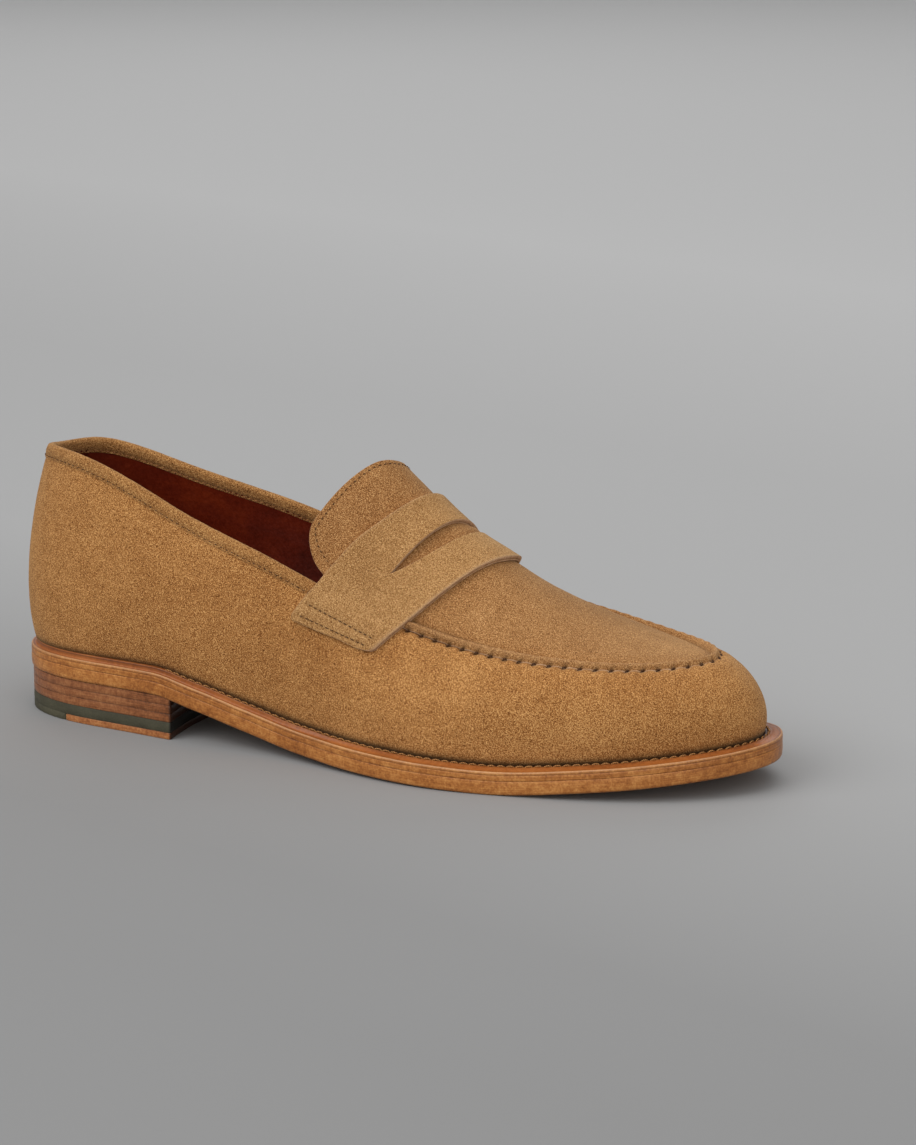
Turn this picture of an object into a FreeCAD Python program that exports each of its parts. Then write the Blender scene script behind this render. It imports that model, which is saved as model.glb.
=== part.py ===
import FreeCAD, Part
import math
import os

# Right shoe of a welted, moc-toe penny loafer.
# Design frame: x runs from the heel to the toe, +y is the inner (medial) side, z is up and the
# ground is z = 0. The finished pieces are moved so that the middle of the shoe is the origin.

V = FreeCAD.Vector

# ---------------------------------------------------------------- driving dimensions, mm
SHOE_CENTRE = V(150.5, -0.8, 0)

OUTSOLE = 5.2          # leather outsole
WELT = 3.2             # welt strip
INSOLE = 3.4
SOCK = 0.9
RIB = 2.0              # canvas rib under the insole
SEAM_IN = 5.6          # from the foot line to the inseam
SEAM_GAP = 0.9         # room for the inseam's thread
CORK_START = 118.0     # the shank lies behind the cork filler
SHANK_START = 48.0
SHANK_HALF_WIDTH = 8.0

HEEL_HEIGHT = 16.0
HEEL_LENGTH = 77.0
LIFT_COUNT = 3
RUBBER_TOP = 6.5
LEATHER_TIP = 2.5
LEATHER_TIP_START = 34.0
HEEL_INSET = 0.6
BREAST_HOLLOW = 1.8    # how far the heel's front face is hollowed
BREAST_RADIUS = 160.0
NAIL_RADIUS = 0.9
NAIL_IN = 9.0          # from the sole's edge to the heel nails
NAIL_PITCH = 26.0
PIN_RADIUS = 0.6
PIN_IN = 6.0
PIN_PITCH = 11.0
EDGE_LENGTH = 760.0    # rough length of the sole's edge, for spacing nails and pins

SUEDE = 1.3
STIFFENER = 0.7
LINING = 0.8
GLUE = 0.06            # hair gap between glued layers
BINDING = 0.55
BINDING_DEPTH = 4.0

STRAP = 1.3
STRAP_BACKING = 0.8
STRAP_GAP = 0.1        # between the instep and the strap's backing
STRAP_REAR = 168.2     # x of the strap's edges on the instep ridge
STRAP_FRONT = 196.8
STRAP_HALF = 79.8      # half length over the instep, along the rear edge
STRAP_TAPER = 7.6      # how much shorter the front edge is, each side
STRAP_END_BOW = 3.2    # how much longer it is between them, so that its ends are straight
STRAP_RAKE = 0.57      # how fast the strap sweeps back as it goes down the sides
STRAP_EASE = 9.6       # roundness of that sweep over the ridge
STRAP_LIFT = 0.9       # how far the front edge stands proud of the instep
STRAP_FOOT = 163.5     # x of the strap's lower front corner
SLOT_MIDDLE = 182.0    # x of the slot on the instep ridge
SLOT_CENTRE = -9.0     # the slot reaches further down the outer side
SLOT_HALF_LENGTH = 32.7
SLOT_HALF_WIDTH = 2.95

TONGUE_CORNER = 130.3
TONGUE_BOW = 24.6
TONGUE_ROUND = 0.33    # roundness of that bow over the ridge
TONGUE_NARROW = 3.3    # how much the tongue's end is narrower than the opening, each side
APRON_FRONT = 271.0    # where the seam starts to turn across the toe
BACK_GAP = 0.0006      # half the gap at the back seam, as a share of the way round

TOPLINE_END = 144.0    # x where the topline goes under the strap
COUNTER_END = 78.0
PUFF_START = 232.0
WALL_THICKNESS = SUEDE + STIFFENER + LINING + 3 * GLUE

WELT_SEAM_OUT = 1.7    # from the foot line to the welt's stitches
WELT_SEAM_START = 76.0  # the welt is stitched forward of the heel
STRAP_SEAMS = (0.018, 0.05, 0.95, 0.982)
WELT_PITCH = 3.4
INSEAM_PITCH = 6.0
THICK_THREAD = 0.35    # radius
APRON_PITCH = 5.5
FINE_PITCH = 2.2
THREAD = 0.4           # thickness of the fine thread

# Height of the outsole's underside along the shoe.
BOTTOM = [(0, 16), (70, 16), (90, 12.5), (110, 7.8), (135, 3.1), (160, 1.1),
          (190, 0.4), (213, 0), (250, 3.0), (280, 6.5), (300, 9.0)]

# How far the instep ridge rises over the line between the two seams, and how much the
# arch flattens towards the seams.
RISE = [(110, 50), (130, 49.9), (150, 48.6), (160, 43.4), (170, 36.9), (180, 31.6), (195, 23.9),
        (210, 17), (225, 11.4), (240, 7.2), (255, 4), (268, 1.7), (278.5, 0)]
FLATTEN = [(110, -0.03), (150, 0.146), (180, 0.274), (210, 0.235), (235, 0.213), (262, 0.182),
           (278.5, 0.1)]
# How far the ridge leans to the outer side at x, as a share of the half width.
LEAN = [(110, 0.137), (200, 0.137), (240, 0), (278.5, 0)]

# Stations round the last, from the back of the heel along the outer side to the toe and back
# along the inner side. Each holds the sole's edge (x, y), the welt's width, the wall's top
# edge (x, y, z), and the bulge of the wall near its foot (out, up) and its top (out, down).
STATIONS = [
    (1.5, 2.5, 2.0, 10.5, 1, 97.5, 6, 17, 9.5, 26),
    (7.5, -18.5, 2.3, 15, -15, 99.6, 5.5, 17, 8, 26),
    (26, -30.5, 2.8, 30, -25, 99.8, 4.5, 17, 6, 26),
    (54, -35, 3.4, 54, -29.3, 94.2, 4, 16, 6, 24),
    (84, -38.3, 4.0, 84, -30, 81.4, 4, 15, 6.5, 20),
    (118, -40, 4.8, 118, -32, 70.4, 4, 14, 7, 16),
    (152, -46.5, 5.8, 150, -34.3, 59.4, 4, 13, 6, 12),
    (188, -52, 6.6, 184, -33.5, 49.5, 4, 13, 8, 11),
    (222, -47.5, 6.8, 215, -33, 45.3, 4, 13, 10, 9),
    (256, -38.5, 6.8, 245, -27, 43.9, 3.5, 12, 9.5, 6),
    (284, -22.5, 6.8, 266, -14.5, 43.6, 4, 11, 10.5, 4),
    (300.5, 6, 6.8, 278.5, 5, 44.5, 4.5, 11, 11, 3.5),
    (290, 30, 6.8, 269, 22.5, 43.6, 4, 11, 10.5, 4),
    (262, 42.5, 6.4, 248, 34, 43.8, 3.5, 12, 9.5, 6),
    (230, 49, 5.8, 220, 41, 46.3, 3.5, 13, 9, 9),
    (196, 49.5, 5.0, 188, 41, 51.5, 3, 14, 7, 11),
    (160, 41, 3.8, 155, 37, 58.5, 3, 15, 5, 13),
    (124, 33, 3.2, 122, 34, 68, 3, 16, 5, 17),
    (88, 31, 3.0, 88, 32, 78, 3.5, 17, 5, 20),
    (54, 33.5, 2.8, 54, 30.5, 85.5, 4, 17, 6, 24),
    (26, 32.5, 2.6, 28, 26, 93, 4.5, 17, 6, 26),
    (8, 21.5, 2.3, 15, 17, 96.5, 5.5, 17, 8, 26),
]
TOE_STATION = 11


# ---------------------------------------------------------------- curves through points
def shape_preserving(points):
    """Smooth curve through (x, value) points that never overshoots them."""
    xs = [p[0] for p in points]
    ys = [p[1] for p in points]
    count = len(xs)
    step = [xs[i + 1] - xs[i] for i in range(count - 1)]
    rate = [(ys[i + 1] - ys[i]) / step[i] for i in range(count - 1)]
    slope = [0.0] * count
    slope[0] = rate[0]
    slope[-1] = rate[-1]
    for i in range(1, count - 1):
        if rate[i - 1] * rate[i] > 0:
            before = 2 * step[i] + step[i - 1]
            after = step[i] + 2 * step[i - 1]
            slope[i] = (before + after) / (before / rate[i - 1] + after / rate[i])

    def value(x):
        x = min(max(x, xs[0]), xs[-1])
        i = 0
        while i < count - 2 and x > xs[i + 1]:
            i += 1
        t = (x - xs[i]) / step[i]
        rest = 1 - t
        ends = (1 + 2 * t) * rest ** 2 * ys[i] + t * t * (3 - 2 * t) * ys[i + 1]
        return ends + t * rest * step[i] * (rest * slope[i] - t * slope[i + 1])

    return value


def closed_spline(places, values):
    """Closed cubic spline of period 1 through the values at the given places."""
    count = len(places)
    step = [(places[(i + 1) % count] - places[i]) % 1.0 for i in range(count)]
    rate = [(values[(i + 1) % count] - values[i]) / step[i] for i in range(count)]
    bend = [0.0] * count
    for _ in range(60):
        for i in range(count):
            known = step[i - 1] * bend[i - 1] + step[i] * bend[(i + 1) % count]
            bend[i] = (6 * (rate[i] - rate[i - 1]) - known) / (2 * (step[i - 1] + step[i]))

    def value(u):
        u %= 1.0
        i = count - 1
        while places[i] > u:
            i -= 1
        j = (i + 1) % count
        gone = u - places[i]
        left = step[i] - gone
        curve = (bend[i] * left ** 3 + bend[j] * gone ** 3) / (6 * step[i])
        start = (values[i] / step[i] - bend[i] * step[i] / 6) * left
        end = (values[j] / step[i] - bend[j] * step[i] / 6) * gone
        return curve + start + end

    return value


def station_places():
    """Place of each station round the last, by distance along the sole's edge."""
    corners = [(s[0], s[1]) for s in STATIONS]
    runs = [math.dist(corners[i], corners[(i + 1) % len(corners)]) for i in range(len(corners))]
    whole = sum(runs)
    return [sum(runs[:i]) / whole for i in range(len(corners))]


PLACES = station_places()
LAST = [closed_spline(PLACES, [s[k] for s in STATIONS]) for k in range(10)]
TOE = PLACES[TOE_STATION]
bottom_height = shape_preserving(BOTTOM)
ridge_rise = shape_preserving(RISE)
arch_flatten = shape_preserving(FLATTEN)
ridge_lean = shape_preserving(LEAN)


# ---------------------------------------------------------------- the last's surfaces
def sole_edge(u):
    return LAST[0](u), LAST[1](u)


def outward(u):
    """Unit vector out of the sole's edge, in plan."""
    ax, ay = sole_edge(u - 1e-4)
    bx, by = sole_edge(u + 1e-4)
    length = math.hypot(bx - ax, by - ay)
    return (by - ay) / length, (ax - bx) / length


def plan(u, inset):
    """Point of the sole's plan, inset from the sole's edge."""
    x, y = sole_edge(u)
    nx, ny = outward(u)
    return x - nx * inset, y - ny * inset


def foot_line(u):
    return plan(u, LAST[2](u))


def top_line(u):
    return V(LAST[3](u), LAST[4](u), LAST[5](u))


def wall(u, v):
    """Outer face of the shoe's side, from the welt (v = 0) to its top edge (v = 1)."""
    x, y = foot_line(u)
    nx, ny = outward(u)
    side = V(nx, ny, 0)
    foot = V(x, y, bottom_height(x) + OUTSOLE + WELT + GLUE)
    top = top_line(u)
    low = foot + side * LAST[6](u) + V(0, 0, LAST[7](u))
    high = top + side * LAST[8](u) - V(0, 0, LAST[9](u))
    w = 1 - v
    return foot * w ** 3 + low * (3 * w * w * v) + high * (3 * w * v * v) + top * v ** 3


def wall_normal(u, v):
    low = max(v - 1e-3, 0)
    high = min(v + 1e-3, 1)
    along = wall(u + 1e-4, v) - wall(u - 1e-4, v)
    up = wall(u, high) - wall(u, low)
    normal = along.cross(up)
    normal.normalize()
    return normal


def wall_depth(u, v, depth):
    """Point at a depth under the wall's outer face. The layers thin towards the top edge."""
    skive = 1 - 0.3 * max(0.0, (v - 0.75) / 0.25)
    return wall(u, v) - wall_normal(u, v) * (depth * skive)


def place_at(x, outer_side):
    """Place round the last where the wall's top edge is at x."""
    low = 0.03 if outer_side else 0.97
    high = TOE
    for _ in range(40):
        middle = (low + high) / 2
        if top_line(middle).x < x:
            low = middle
        else:
            high = middle
    return (low + high) / 2


RAIL_CACHE = {}


def rails(x):
    """Top edges of the outer and the inner wall at x, where the apron's seam runs."""
    key = round(x, 3)
    if key not in RAIL_CACHE:
        RAIL_CACHE[key] = (top_line(place_at(x, True)), top_line(place_at(x, False)))
    return RAIL_CACHE[key]


def crown(x, y):
    """Height of the apron, instep and tongue over a point in plan."""
    outer, inner = rails(x)
    half = max((inner.y - outer.y) / 2, 1e-3)
    across = min(max((y - outer.y) / half - 1, -1), 1)
    level = outer.z + (inner.z - outer.z) * (across + 1) / 2
    across = across + ridge_lean(x) * (1 - across ** 2)
    arch = (1 - across ** 2) * (1 - arch_flatten(x) * across ** 2)
    return level + ridge_rise(x) * arch


def crown_normal(x, y):
    dx = (crown(x + 0.2, y) - crown(x - 0.2, y)) / 0.4
    dy = (crown(x, y + 0.2) - crown(x, y - 0.2)) / 0.4
    normal = V(-dx, -dy, 1)
    normal.normalize()
    return normal


# ---------------------------------------------------------------- solids from point grids
def skin(points):
    surface = Part.BSplineSurface()
    surface.interpolate(points)
    return surface


def borders(surface):
    u0, u1, v0, v1 = surface.bounds()
    return [surface.uIso(u0), surface.uIso(u1), surface.vIso(v0), surface.vIso(v1)]


def sewn(faces):
    cover = Part.makeCompound(faces)
    cover.sewShape(0.01)
    solid = Part.Solid(cover.Shells[0])
    if solid.Volume < 0:
        solid.reverse()
    return solid


def sheet(outer_points, inner_points):
    """Closed solid between two facing grids of points."""
    outer = skin(outer_points)
    inner = skin(inner_points)
    faces = [outer.toShape(), inner.toShape()]
    for a, b in zip(borders(outer), borders(inner)):
        faces.append(Part.makeRuledSurface(a.toShape(), b.toShape()))
    return sewn(faces)


def spaced(start, end, count):
    return [start + (end - start) * i / (count - 1) for i in range(count)]


def wall_layer(u_range, v_range, outer_depth, thickness, columns, rows):
    """One layer of the wall over a range of places and heights."""
    us = spaced(u_range[0], u_range[1], columns)
    vs = spaced(v_range[0], v_range[1], rows)
    outer = [[wall_depth(u, v, outer_depth) for v in vs] for u in us]
    inner = [[wall_depth(u, v, outer_depth + thickness) for v in vs] for u in us]
    return sheet(outer, inner)


# ---------------------------------------------------------------- flat layers of the bottom
def outline(inset, from_foot_line, count=44):
    """Closed plan outline, inset from the sole's edge or from the foot line."""
    points = []
    for i in range(count):
        u = i / count
        extra = LAST[2](u) if from_foot_line else 0
        x, y = plan(u, inset + extra)
        points.append(V(x, y, -10))
    curve = Part.BSplineCurve()
    curve.interpolate(Points=points, PeriodicFlag=True)
    return Part.Wire([curve.toShape()])


def prism(wire):
    return Part.Face(wire).extrude(V(0, 0, 80))


def slab(low, high):
    """Everything between two heights over the outsole's underside."""
    xs = [-6, 20, 45, 62] + [72 + 10 * i for i in range(24)]

    def edge(height):
        curve = Part.BSplineCurve()
        curve.interpolate([V(x, -80, bottom_height(x) + height) for x in xs])
        return curve.toShape()

    lower = edge(low)
    upper = edge(high)
    first = Part.makeLine(V(xs[0], -80, bottom_height(xs[0]) + low),
                          V(xs[0], -80, bottom_height(xs[0]) + high))
    last = Part.makeLine(V(xs[-1], -80, bottom_height(xs[-1]) + low),
                         V(xs[-1], -80, bottom_height(xs[-1]) + high))
    wire = Part.Wire(Part.__sortEdges__([lower, last, upper, first]))
    return Part.Face(wire).extrude(V(0, 160, 0))


def bottom_layer(inset, low, high, from_foot_line=True):
    return prism(outline(inset, from_foot_line)).common(slab(low, high))


def block(x0, x1, z0, z1, half_width=80):
    return Part.makeBox(x1 - x0, 2 * half_width, z1 - z0, V(x0, -half_width, z0))


def make_outsole():
    return bottom_layer(0, 0, OUTSOLE, from_foot_line=False)


def make_welt():
    ring = prism(outline(0, False)).cut(prism(outline(SEAM_IN, True)))
    return ring.common(slab(OUTSOLE + GLUE, OUTSOLE + WELT))


def make_insole_rib():
    start = SEAM_IN + SEAM_GAP
    ring = prism(outline(start, True)).cut(prism(outline(start + RIB, True)))
    return ring.common(slab(OUTSOLE + GLUE, OUTSOLE + WELT))


def make_cork_filler():
    filler = bottom_layer(SEAM_IN + SEAM_GAP + RIB + GLUE, OUTSOLE + GLUE, OUTSOLE + WELT)
    return filler.common(block(CORK_START, 320, -20, 60))


def make_shank():
    """Steel strip in the waist, ribbed along its middle."""
    strip = block(SHANK_START, CORK_START - 2, -20, 60, half_width=SHANK_HALF_WIDTH)
    strip = strip.common(slab(OUTSOLE + 1.6, OUTSOLE + WELT))
    groove = block(SHANK_START + 12, CORK_START - 14, -20, 60, half_width=1.5)
    return strip.cut(groove.common(slab(OUTSOLE + WELT - 0.6, OUTSOLE + WELT + 1)))


def make_insole():
    low = OUTSOLE + WELT + GLUE
    return bottom_layer(WALL_THICKNESS + 0.2, low, low + INSOLE)


def make_sock_liner():
    low = OUTSOLE + WELT + INSOLE + 2 * GLUE
    return bottom_layer(WALL_THICKNESS + 0.5, low, low + SOCK)


# ---------------------------------------------------------------- heel
def heel_prism():
    """Plan of the heel: the sole's outline cut by a hollow breast."""
    body = prism(outline(HEEL_INSET, False))
    middle = HEEL_LENGTH + BREAST_RADIUS - BREAST_HOLLOW
    drum = Part.makeCylinder(BREAST_RADIUS, 100, V(middle, 0, -15))
    return body.cut(drum).common(block(-20, HEEL_LENGTH + 1, -15, 60))


def heel_slice(low, high):
    return heel_prism().common(block(-20, 120, low, high))


def make_heel_lifts():
    stack = HEEL_HEIGHT - RUBBER_TOP
    lift = stack / LIFT_COUNT
    lifts = []
    for i in range(LIFT_COUNT):
        low = RUBBER_TOP + i * lift
        lifts.append(heel_slice(low + GLUE, low + lift))
    return lifts


def tip_prism():
    """Front of the heel's bottom lift, where leather takes the place of rubber."""
    radius = 62.0
    drum = Part.makeCylinder(radius, 30, V(LEATHER_TIP_START + 4 - radius, 0, -10))
    return block(-40, 120, -10, 20).cut(drum)


def make_rubber():
    room = tip_prism().common(block(-50, 130, -5, LEATHER_TIP + GLUE))
    return heel_slice(0, RUBBER_TOP).cut(room)


def make_leather_tip():
    clear = tip_prism().common(block(-50, 130, -5, LEATHER_TIP))
    return heel_slice(0, LEATHER_TIP).common(clear.translated(V(0.1, 0, 0)))


def heel_pins(inset, x_limits, low, high, radius, pitch):
    """Row of pins round the heel, set in from its edge."""
    pins = []
    count = int(EDGE_LENGTH / pitch)
    for i in range(count):
        x, y = plan(i / count, inset)
        if x_limits[0] < x < x_limits[1]:
            pins.append(Part.makeCylinder(radius, high - low, V(x, y, low)))
    return pins


def make_heel_nails():
    """Nails that hold the stacked lifts to the outsole."""
    reach = (8, HEEL_LENGTH - 8)
    nails = heel_pins(NAIL_IN, reach, RUBBER_TOP + 0.5, HEEL_HEIGHT + 3, NAIL_RADIUS, NAIL_PITCH)
    return Part.makeCompound(nails)


def make_top_piece_pins():
    """Brass pins through the leather tip into the rubber."""
    reach = (LEATHER_TIP_START + 10, HEEL_LENGTH - 4)
    pins = heel_pins(PIN_IN, reach, 0.1, LEATHER_TIP + 2, PIN_RADIUS, PIN_PITCH)
    return Part.makeCompound(pins)


# ---------------------------------------------------------------- upper
def make_side_wall():
    return wall_layer((BACK_GAP, 1 - BACK_GAP), (0, 1), 0, SUEDE, 67, 11)


def make_side_lining():
    depth = SUEDE + STIFFENER + 2 * GLUE
    return wall_layer((BACK_GAP, 1 - BACK_GAP), (0, 0.985), depth, LINING, 67, 11)


def stiffener(u_range, v_range, columns):
    return wall_layer(u_range, v_range, SUEDE + GLUE, STIFFENER, columns, 9)


def tongue_fall(across):
    """0 on the ridge to 1 at the seam: how the tongue's end falls back to its corners."""
    soft = TONGUE_ROUND ** 2
    low = soft ** 0.825
    return ((across ** 2 + soft) ** 0.825 - low) / ((1 + soft) ** 0.825 - low)


def apron_point(s, t, tuck):
    """Plan point of the apron: s runs from the tongue's end to the toe, t across."""
    x_side = TONGUE_CORNER + (APRON_FRONT - TONGUE_CORNER) * s
    outer, inner = rails(x_side)
    narrow = tuck + TONGUE_NARROW * max(0.0, 1 - (x_side - TONGUE_CORNER) / 26) ** 1.5
    low = outer.y + narrow
    high = inner.y - narrow
    y = low + (high - low) * t
    across = abs(2 * t - 1)
    rear_bow = TONGUE_BOW * (1 - tongue_fall(across))
    front_bow = front_reach(t, tuck) - APRON_FRONT
    blend = max(0.0, (s - 0.3) / 0.7) ** 2
    return x_side + rear_bow * (1 - s) ** 1.5 + front_bow * blend, y


def front_reach(t, tuck):
    """x of the apron's front edge, which bows forward from its two ends."""
    outer, inner = rails(APRON_FRONT)
    y = outer.y + tuck + (inner.y - outer.y - 2 * tuck) * t
    low = APRON_FRONT
    high = top_line(TOE).x
    for _ in range(30):
        middle = (low + high) / 2
        outer, inner = rails(middle)
        if outer.y + tuck <= y <= inner.y - tuck:
            low = middle
        else:
            high = middle
    return low


def apron_layer(s_range, t_range, depth, thickness, tuck, rows, columns):
    outer = []
    inner = []
    for s in spaced(s_range[0], s_range[1], rows):
        top = []
        low = []
        for t in spaced(t_range[0], t_range[1], columns):
            x, y = apron_point(s, t, tuck)
            point = V(x, y, crown(x, y))
            normal = crown_normal(x, y)
            top.append(point - normal * depth)
            low.append(point - normal * (depth + thickness))
        outer.append(top)
        inner.append(low)
    return sheet(outer, inner)


def make_apron():
    return apron_layer((0, 1), (0, 1), 0, SUEDE, 0.5, 30, 17)


def make_apron_lining():
    return apron_layer((0.01, 0.985), (0.01, 0.99), SUEDE + GLUE, LINING, 0.9, 28, 17)


def section(x):
    """Cross-section of the outer surface, as (distance from the ridge, point) pairs."""
    sides = (place_at(x, True), place_at(x, False))
    outer, inner = rails(x)
    points = [wall(sides[0], v) for v in spaced(0, 1, 16)]
    for y in spaced(outer.y, inner.y, 33)[1:-1]:
        points.append(V(x, y, crown(x, y)))
    points += [wall(sides[1], v) for v in spaced(1, 0, 16)]
    runs = [0.0]
    for i in range(1, len(points)):
        runs.append(runs[-1] + (points[i] - points[i - 1]).Length)
    middle = runs[len(points) // 2]
    return [(runs[i] - middle, points[i]) for i in range(len(points))]


SECTION_CACHE = {}


def over_instep(x, reach):
    """Point of the outer surface at a distance from the ridge, in the section at x."""
    result = V(0, 0, 0)
    for near, share in ((math.floor(x), 1 - (x % 1)), (math.floor(x) + 1, x % 1)):
        key = int(near)
        if key not in SECTION_CACHE:
            SECTION_CACHE[key] = section(key)
        pairs = SECTION_CACHE[key]
        i = 1
        while i < len(pairs) - 1 and pairs[i][0] < reach:
            i += 1
        low, start = pairs[i - 1]
        high, end = pairs[i]
        result += (start + (end - start) * ((reach - low) / (high - low))) * share
    return result


def instep_normal(x, reach):
    along = over_instep(x + 1, reach) - over_instep(x - 1, reach)
    round_foot = over_instep(x, reach + 1.5) - over_instep(x, reach - 1.5)
    normal = along.cross(round_foot)
    normal.normalize()
    return normal


def strap_place(p, q):
    """x and reach of a strap point: p from its rear to its front edge, q across the foot."""
    half = STRAP_HALF - STRAP_TAPER * p + STRAP_END_BOW * 4 * p * (1 - p)
    reach = half * (2 * q - 1)
    return STRAP_REAR + (STRAP_FRONT - STRAP_REAR) * p - strap_sweep(reach), reach


def strap_sweep(reach):
    """How far behind its middle the strap lies at a distance down the side."""
    return math.hypot(STRAP_EASE, STRAP_RAKE * reach) - STRAP_EASE


def strap_layer(p_range, q_range, depth, thickness):
    outer = []
    inner = []
    for q in spaced(q_range[0], q_range[1], 31):
        top = []
        low = []
        for p in spaced(p_range[0], p_range[1], 7):
            x, reach = strap_place(p, q)
            lift = STRAP_LIFT * p ** 2 * (1 - abs(2 * q - 1) ** 2)
            point = over_instep(x, reach)
            normal = instep_normal(x, reach)
            top.append(point + normal * (depth + lift + thickness))
            low.append(point + normal * (depth + lift))
        outer.append(top)
        inner.append(low)
    return sheet(outer, inner)


def slot_cutter():
    """Lens-shaped plug across the strap, which leaves the half-moon slot."""
    outer = []
    inner = []
    for share in spaced(-0.99, 0.99, 25):
        reach = SLOT_CENTRE + SLOT_HALF_LENGTH * share
        middle = SLOT_MIDDLE - strap_sweep(reach)
        half = SLOT_HALF_WIDTH * (1 - share ** 2)
        top = []
        low = []
        for side in (-1, -0.5, 0, 0.5, 1):
            point = over_instep(middle + half * side, reach)
            normal = instep_normal(middle, reach)
            top.append(point + normal * 9)
            low.append(point - normal * 0.6)
        outer.append(top)
        inner.append(low)
    return sheet(outer, inner)


def make_strap_backing():
    layer = strap_layer((0.03, 0.985), (0.02, 0.98), GLUE + STRAP_GAP, STRAP_BACKING)
    return layer.cut(slot_cutter())


def make_strap():
    depth = STRAP_BACKING + 2 * GLUE + STRAP_GAP
    return strap_layer((0, 1), (0, 1), depth, STRAP).cut(slot_cutter())


# ---------------------------------------------------------------- edges and inner stiffening
def edge_frame(u):
    """Middle of the wall's top edge, with its outward and its upward direction."""
    normal = wall_normal(u, 1)
    up = wall(u, 1) - wall(u, 0.98)
    up.normalize()
    return wall_depth(u, 1, WALL_THICKNESS / 2), normal, up


def binding_path():
    """Section of the binding as (across, up) steps: down one side, over the edge, up the other."""
    legs = spaced(-BINDING_DEPTH, -BINDING_DEPTH / 5, 5)
    path = [(1.0, rise) for rise in legs]
    path += [(math.cos(a), math.sin(a)) for a in spaced(0, math.pi, 5)]
    path += [(-1.0, rise) for rise in reversed(legs)]
    return path


def topline_places(margin, count):
    """Places from the strap's inner end, round the heel, to its outer end."""
    start = place_at(TOPLINE_END - margin, False) - 1
    end = place_at(TOPLINE_END - margin, True)
    return spaced(start, end, count)


def make_topline_binding():
    grids = []
    for radius in (WALL_THICKNESS * 0.35 + GLUE, WALL_THICKNESS * 0.35 + GLUE + BINDING):
        grid = []
        for u in topline_places(0, 49):
            middle, side, up = edge_frame(u)
            row = []
            for across, rise in binding_path():
                height = rise * radius if rise > 0 else rise
                row.append(middle + side * (across * radius) + up * height)
            grid.append(row)
        grids.append(grid)
    return sheet(grids[1], grids[0])


def make_topline_tape():
    start = place_at(TOPLINE_END, False) - 1
    end = place_at(TOPLINE_END, True)
    return wall_layer((start, end), (0.93, 0.975), SUEDE + GLUE, STIFFENER, 49, 4)


def make_stiffeners():
    """Counter, puff and the two side stiffeners, which meet between the suede and the lining."""
    counter_out = place_at(COUNTER_END, True)
    counter_in = place_at(COUNTER_END, False)
    puff_out = place_at(PUFF_START, True)
    puff_in = place_at(PUFF_START, False)
    gap = 0.002
    return {
        "heel_counter": stiffener((counter_in - 1, counter_out), (0, 0.62), 25),
        "toe_puff": stiffener((puff_out, puff_in), (0, 0.93), 29),
        "outer_side_stiffener": stiffener((counter_out + gap, puff_out - gap), (0, 0.7), 21),
        "inner_side_stiffener": stiffener((puff_in + gap, counter_in - gap), (0, 0.7), 21),
    }


# ---------------------------------------------------------------- threads
def stitch(start, end, radius):
    return Part.makeCylinder(radius, (end - start).Length, start, end - start)


def seam(path, pitch, radius=THREAD / 2, share=0.62):
    """Stitches along a path given as a list of points, each a short straight thread."""
    stitches = []
    walked = 0.0
    start = None
    for a, b in zip(path, path[1:]):
        run = (b - a).Length
        while run > 0:
            target = share * pitch if start is not None else (1 - share) * pitch
            if walked + run < target:
                walked += run
                break
            step = target - walked
            a = a + (b - a) * (step / run)
            run -= step
            walked = 0.0
            if start is None:
                start = a
            else:
                stitches.append(stitch(start, a, radius))
                start = None
    return Part.makeCompound(stitches)


def make_welt_stitching():
    """Stitches from the heel's front on the outer side, round the toe, to the inner side."""
    path = []
    for i in range(481):
        u = i / 480
        x, y = plan(u, LAST[2](u) - WELT_SEAM_OUT)
        if x > WELT_SEAM_START:
            path.append(V(x, y, bottom_height(x) + OUTSOLE + WELT + THREAD / 2))
    return seam(path, WELT_PITCH, radius=THICK_THREAD)


def make_inseam_stitching():
    path = []
    for i in range(361):
        u = i / 360
        x, y = plan(u, LAST[2](u) + SEAM_IN + SEAM_GAP / 2)
        path.append(V(x, y, bottom_height(x) + OUTSOLE + WELT / 2))
    return seam(path, INSEAM_PITCH, radius=THICK_THREAD)


def make_apron_stitching():
    start = place_at(STRAP_FOOT + 8, True)
    end = place_at(STRAP_FOOT + 8, False)
    path = []
    for u in spaced(start, end, 241):
        path.append(top_line(u) + wall_normal(u, 1) * (THREAD * 0.6))
    return seam(path, APRON_PITCH, radius=THICK_THREAD)


def make_topline_stitching(outside):
    path = []
    for u in topline_places(6, 241):
        middle, side, up = edge_frame(u)
        reach = WALL_THICKNESS * 0.35 + BINDING + GLUE + THREAD / 2
        across = reach if outside else -reach
        path.append(middle + side * across - up * (BINDING_DEPTH - 0.9))
    return seam(path, FINE_PITCH)


def make_strap_stitching():
    rows = []
    lift = STRAP_BACKING + 2 * GLUE + STRAP_GAP + STRAP + THREAD / 2
    for q in STRAP_SEAMS:
        path = []
        for p in spaced(0.07, 0.93, 31):
            x, reach = strap_place(p, q)
            path.append(over_instep(x, reach) + instep_normal(x, reach) * lift)
        rows.append(seam(path, FINE_PITCH))
    return Part.makeCompound([s for row in rows for s in row.Solids])


def make_tongue_stitching():
    places = [(s, 0.07) for s in spaced(0.12, 0.03, 9)]
    places += [(0.022, t) for t in spaced(0.09, 0.91, 61)]
    places += [(s, 0.93) for s in spaced(0.03, 0.12, 9)]
    path = []
    for s, t in places:
        x, y = apron_point(s, t, 0.5)
        path.append(V(x, y, crown(x, y)) + crown_normal(x, y) * (THREAD / 2))
    return seam(path, FINE_PITCH)


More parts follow.
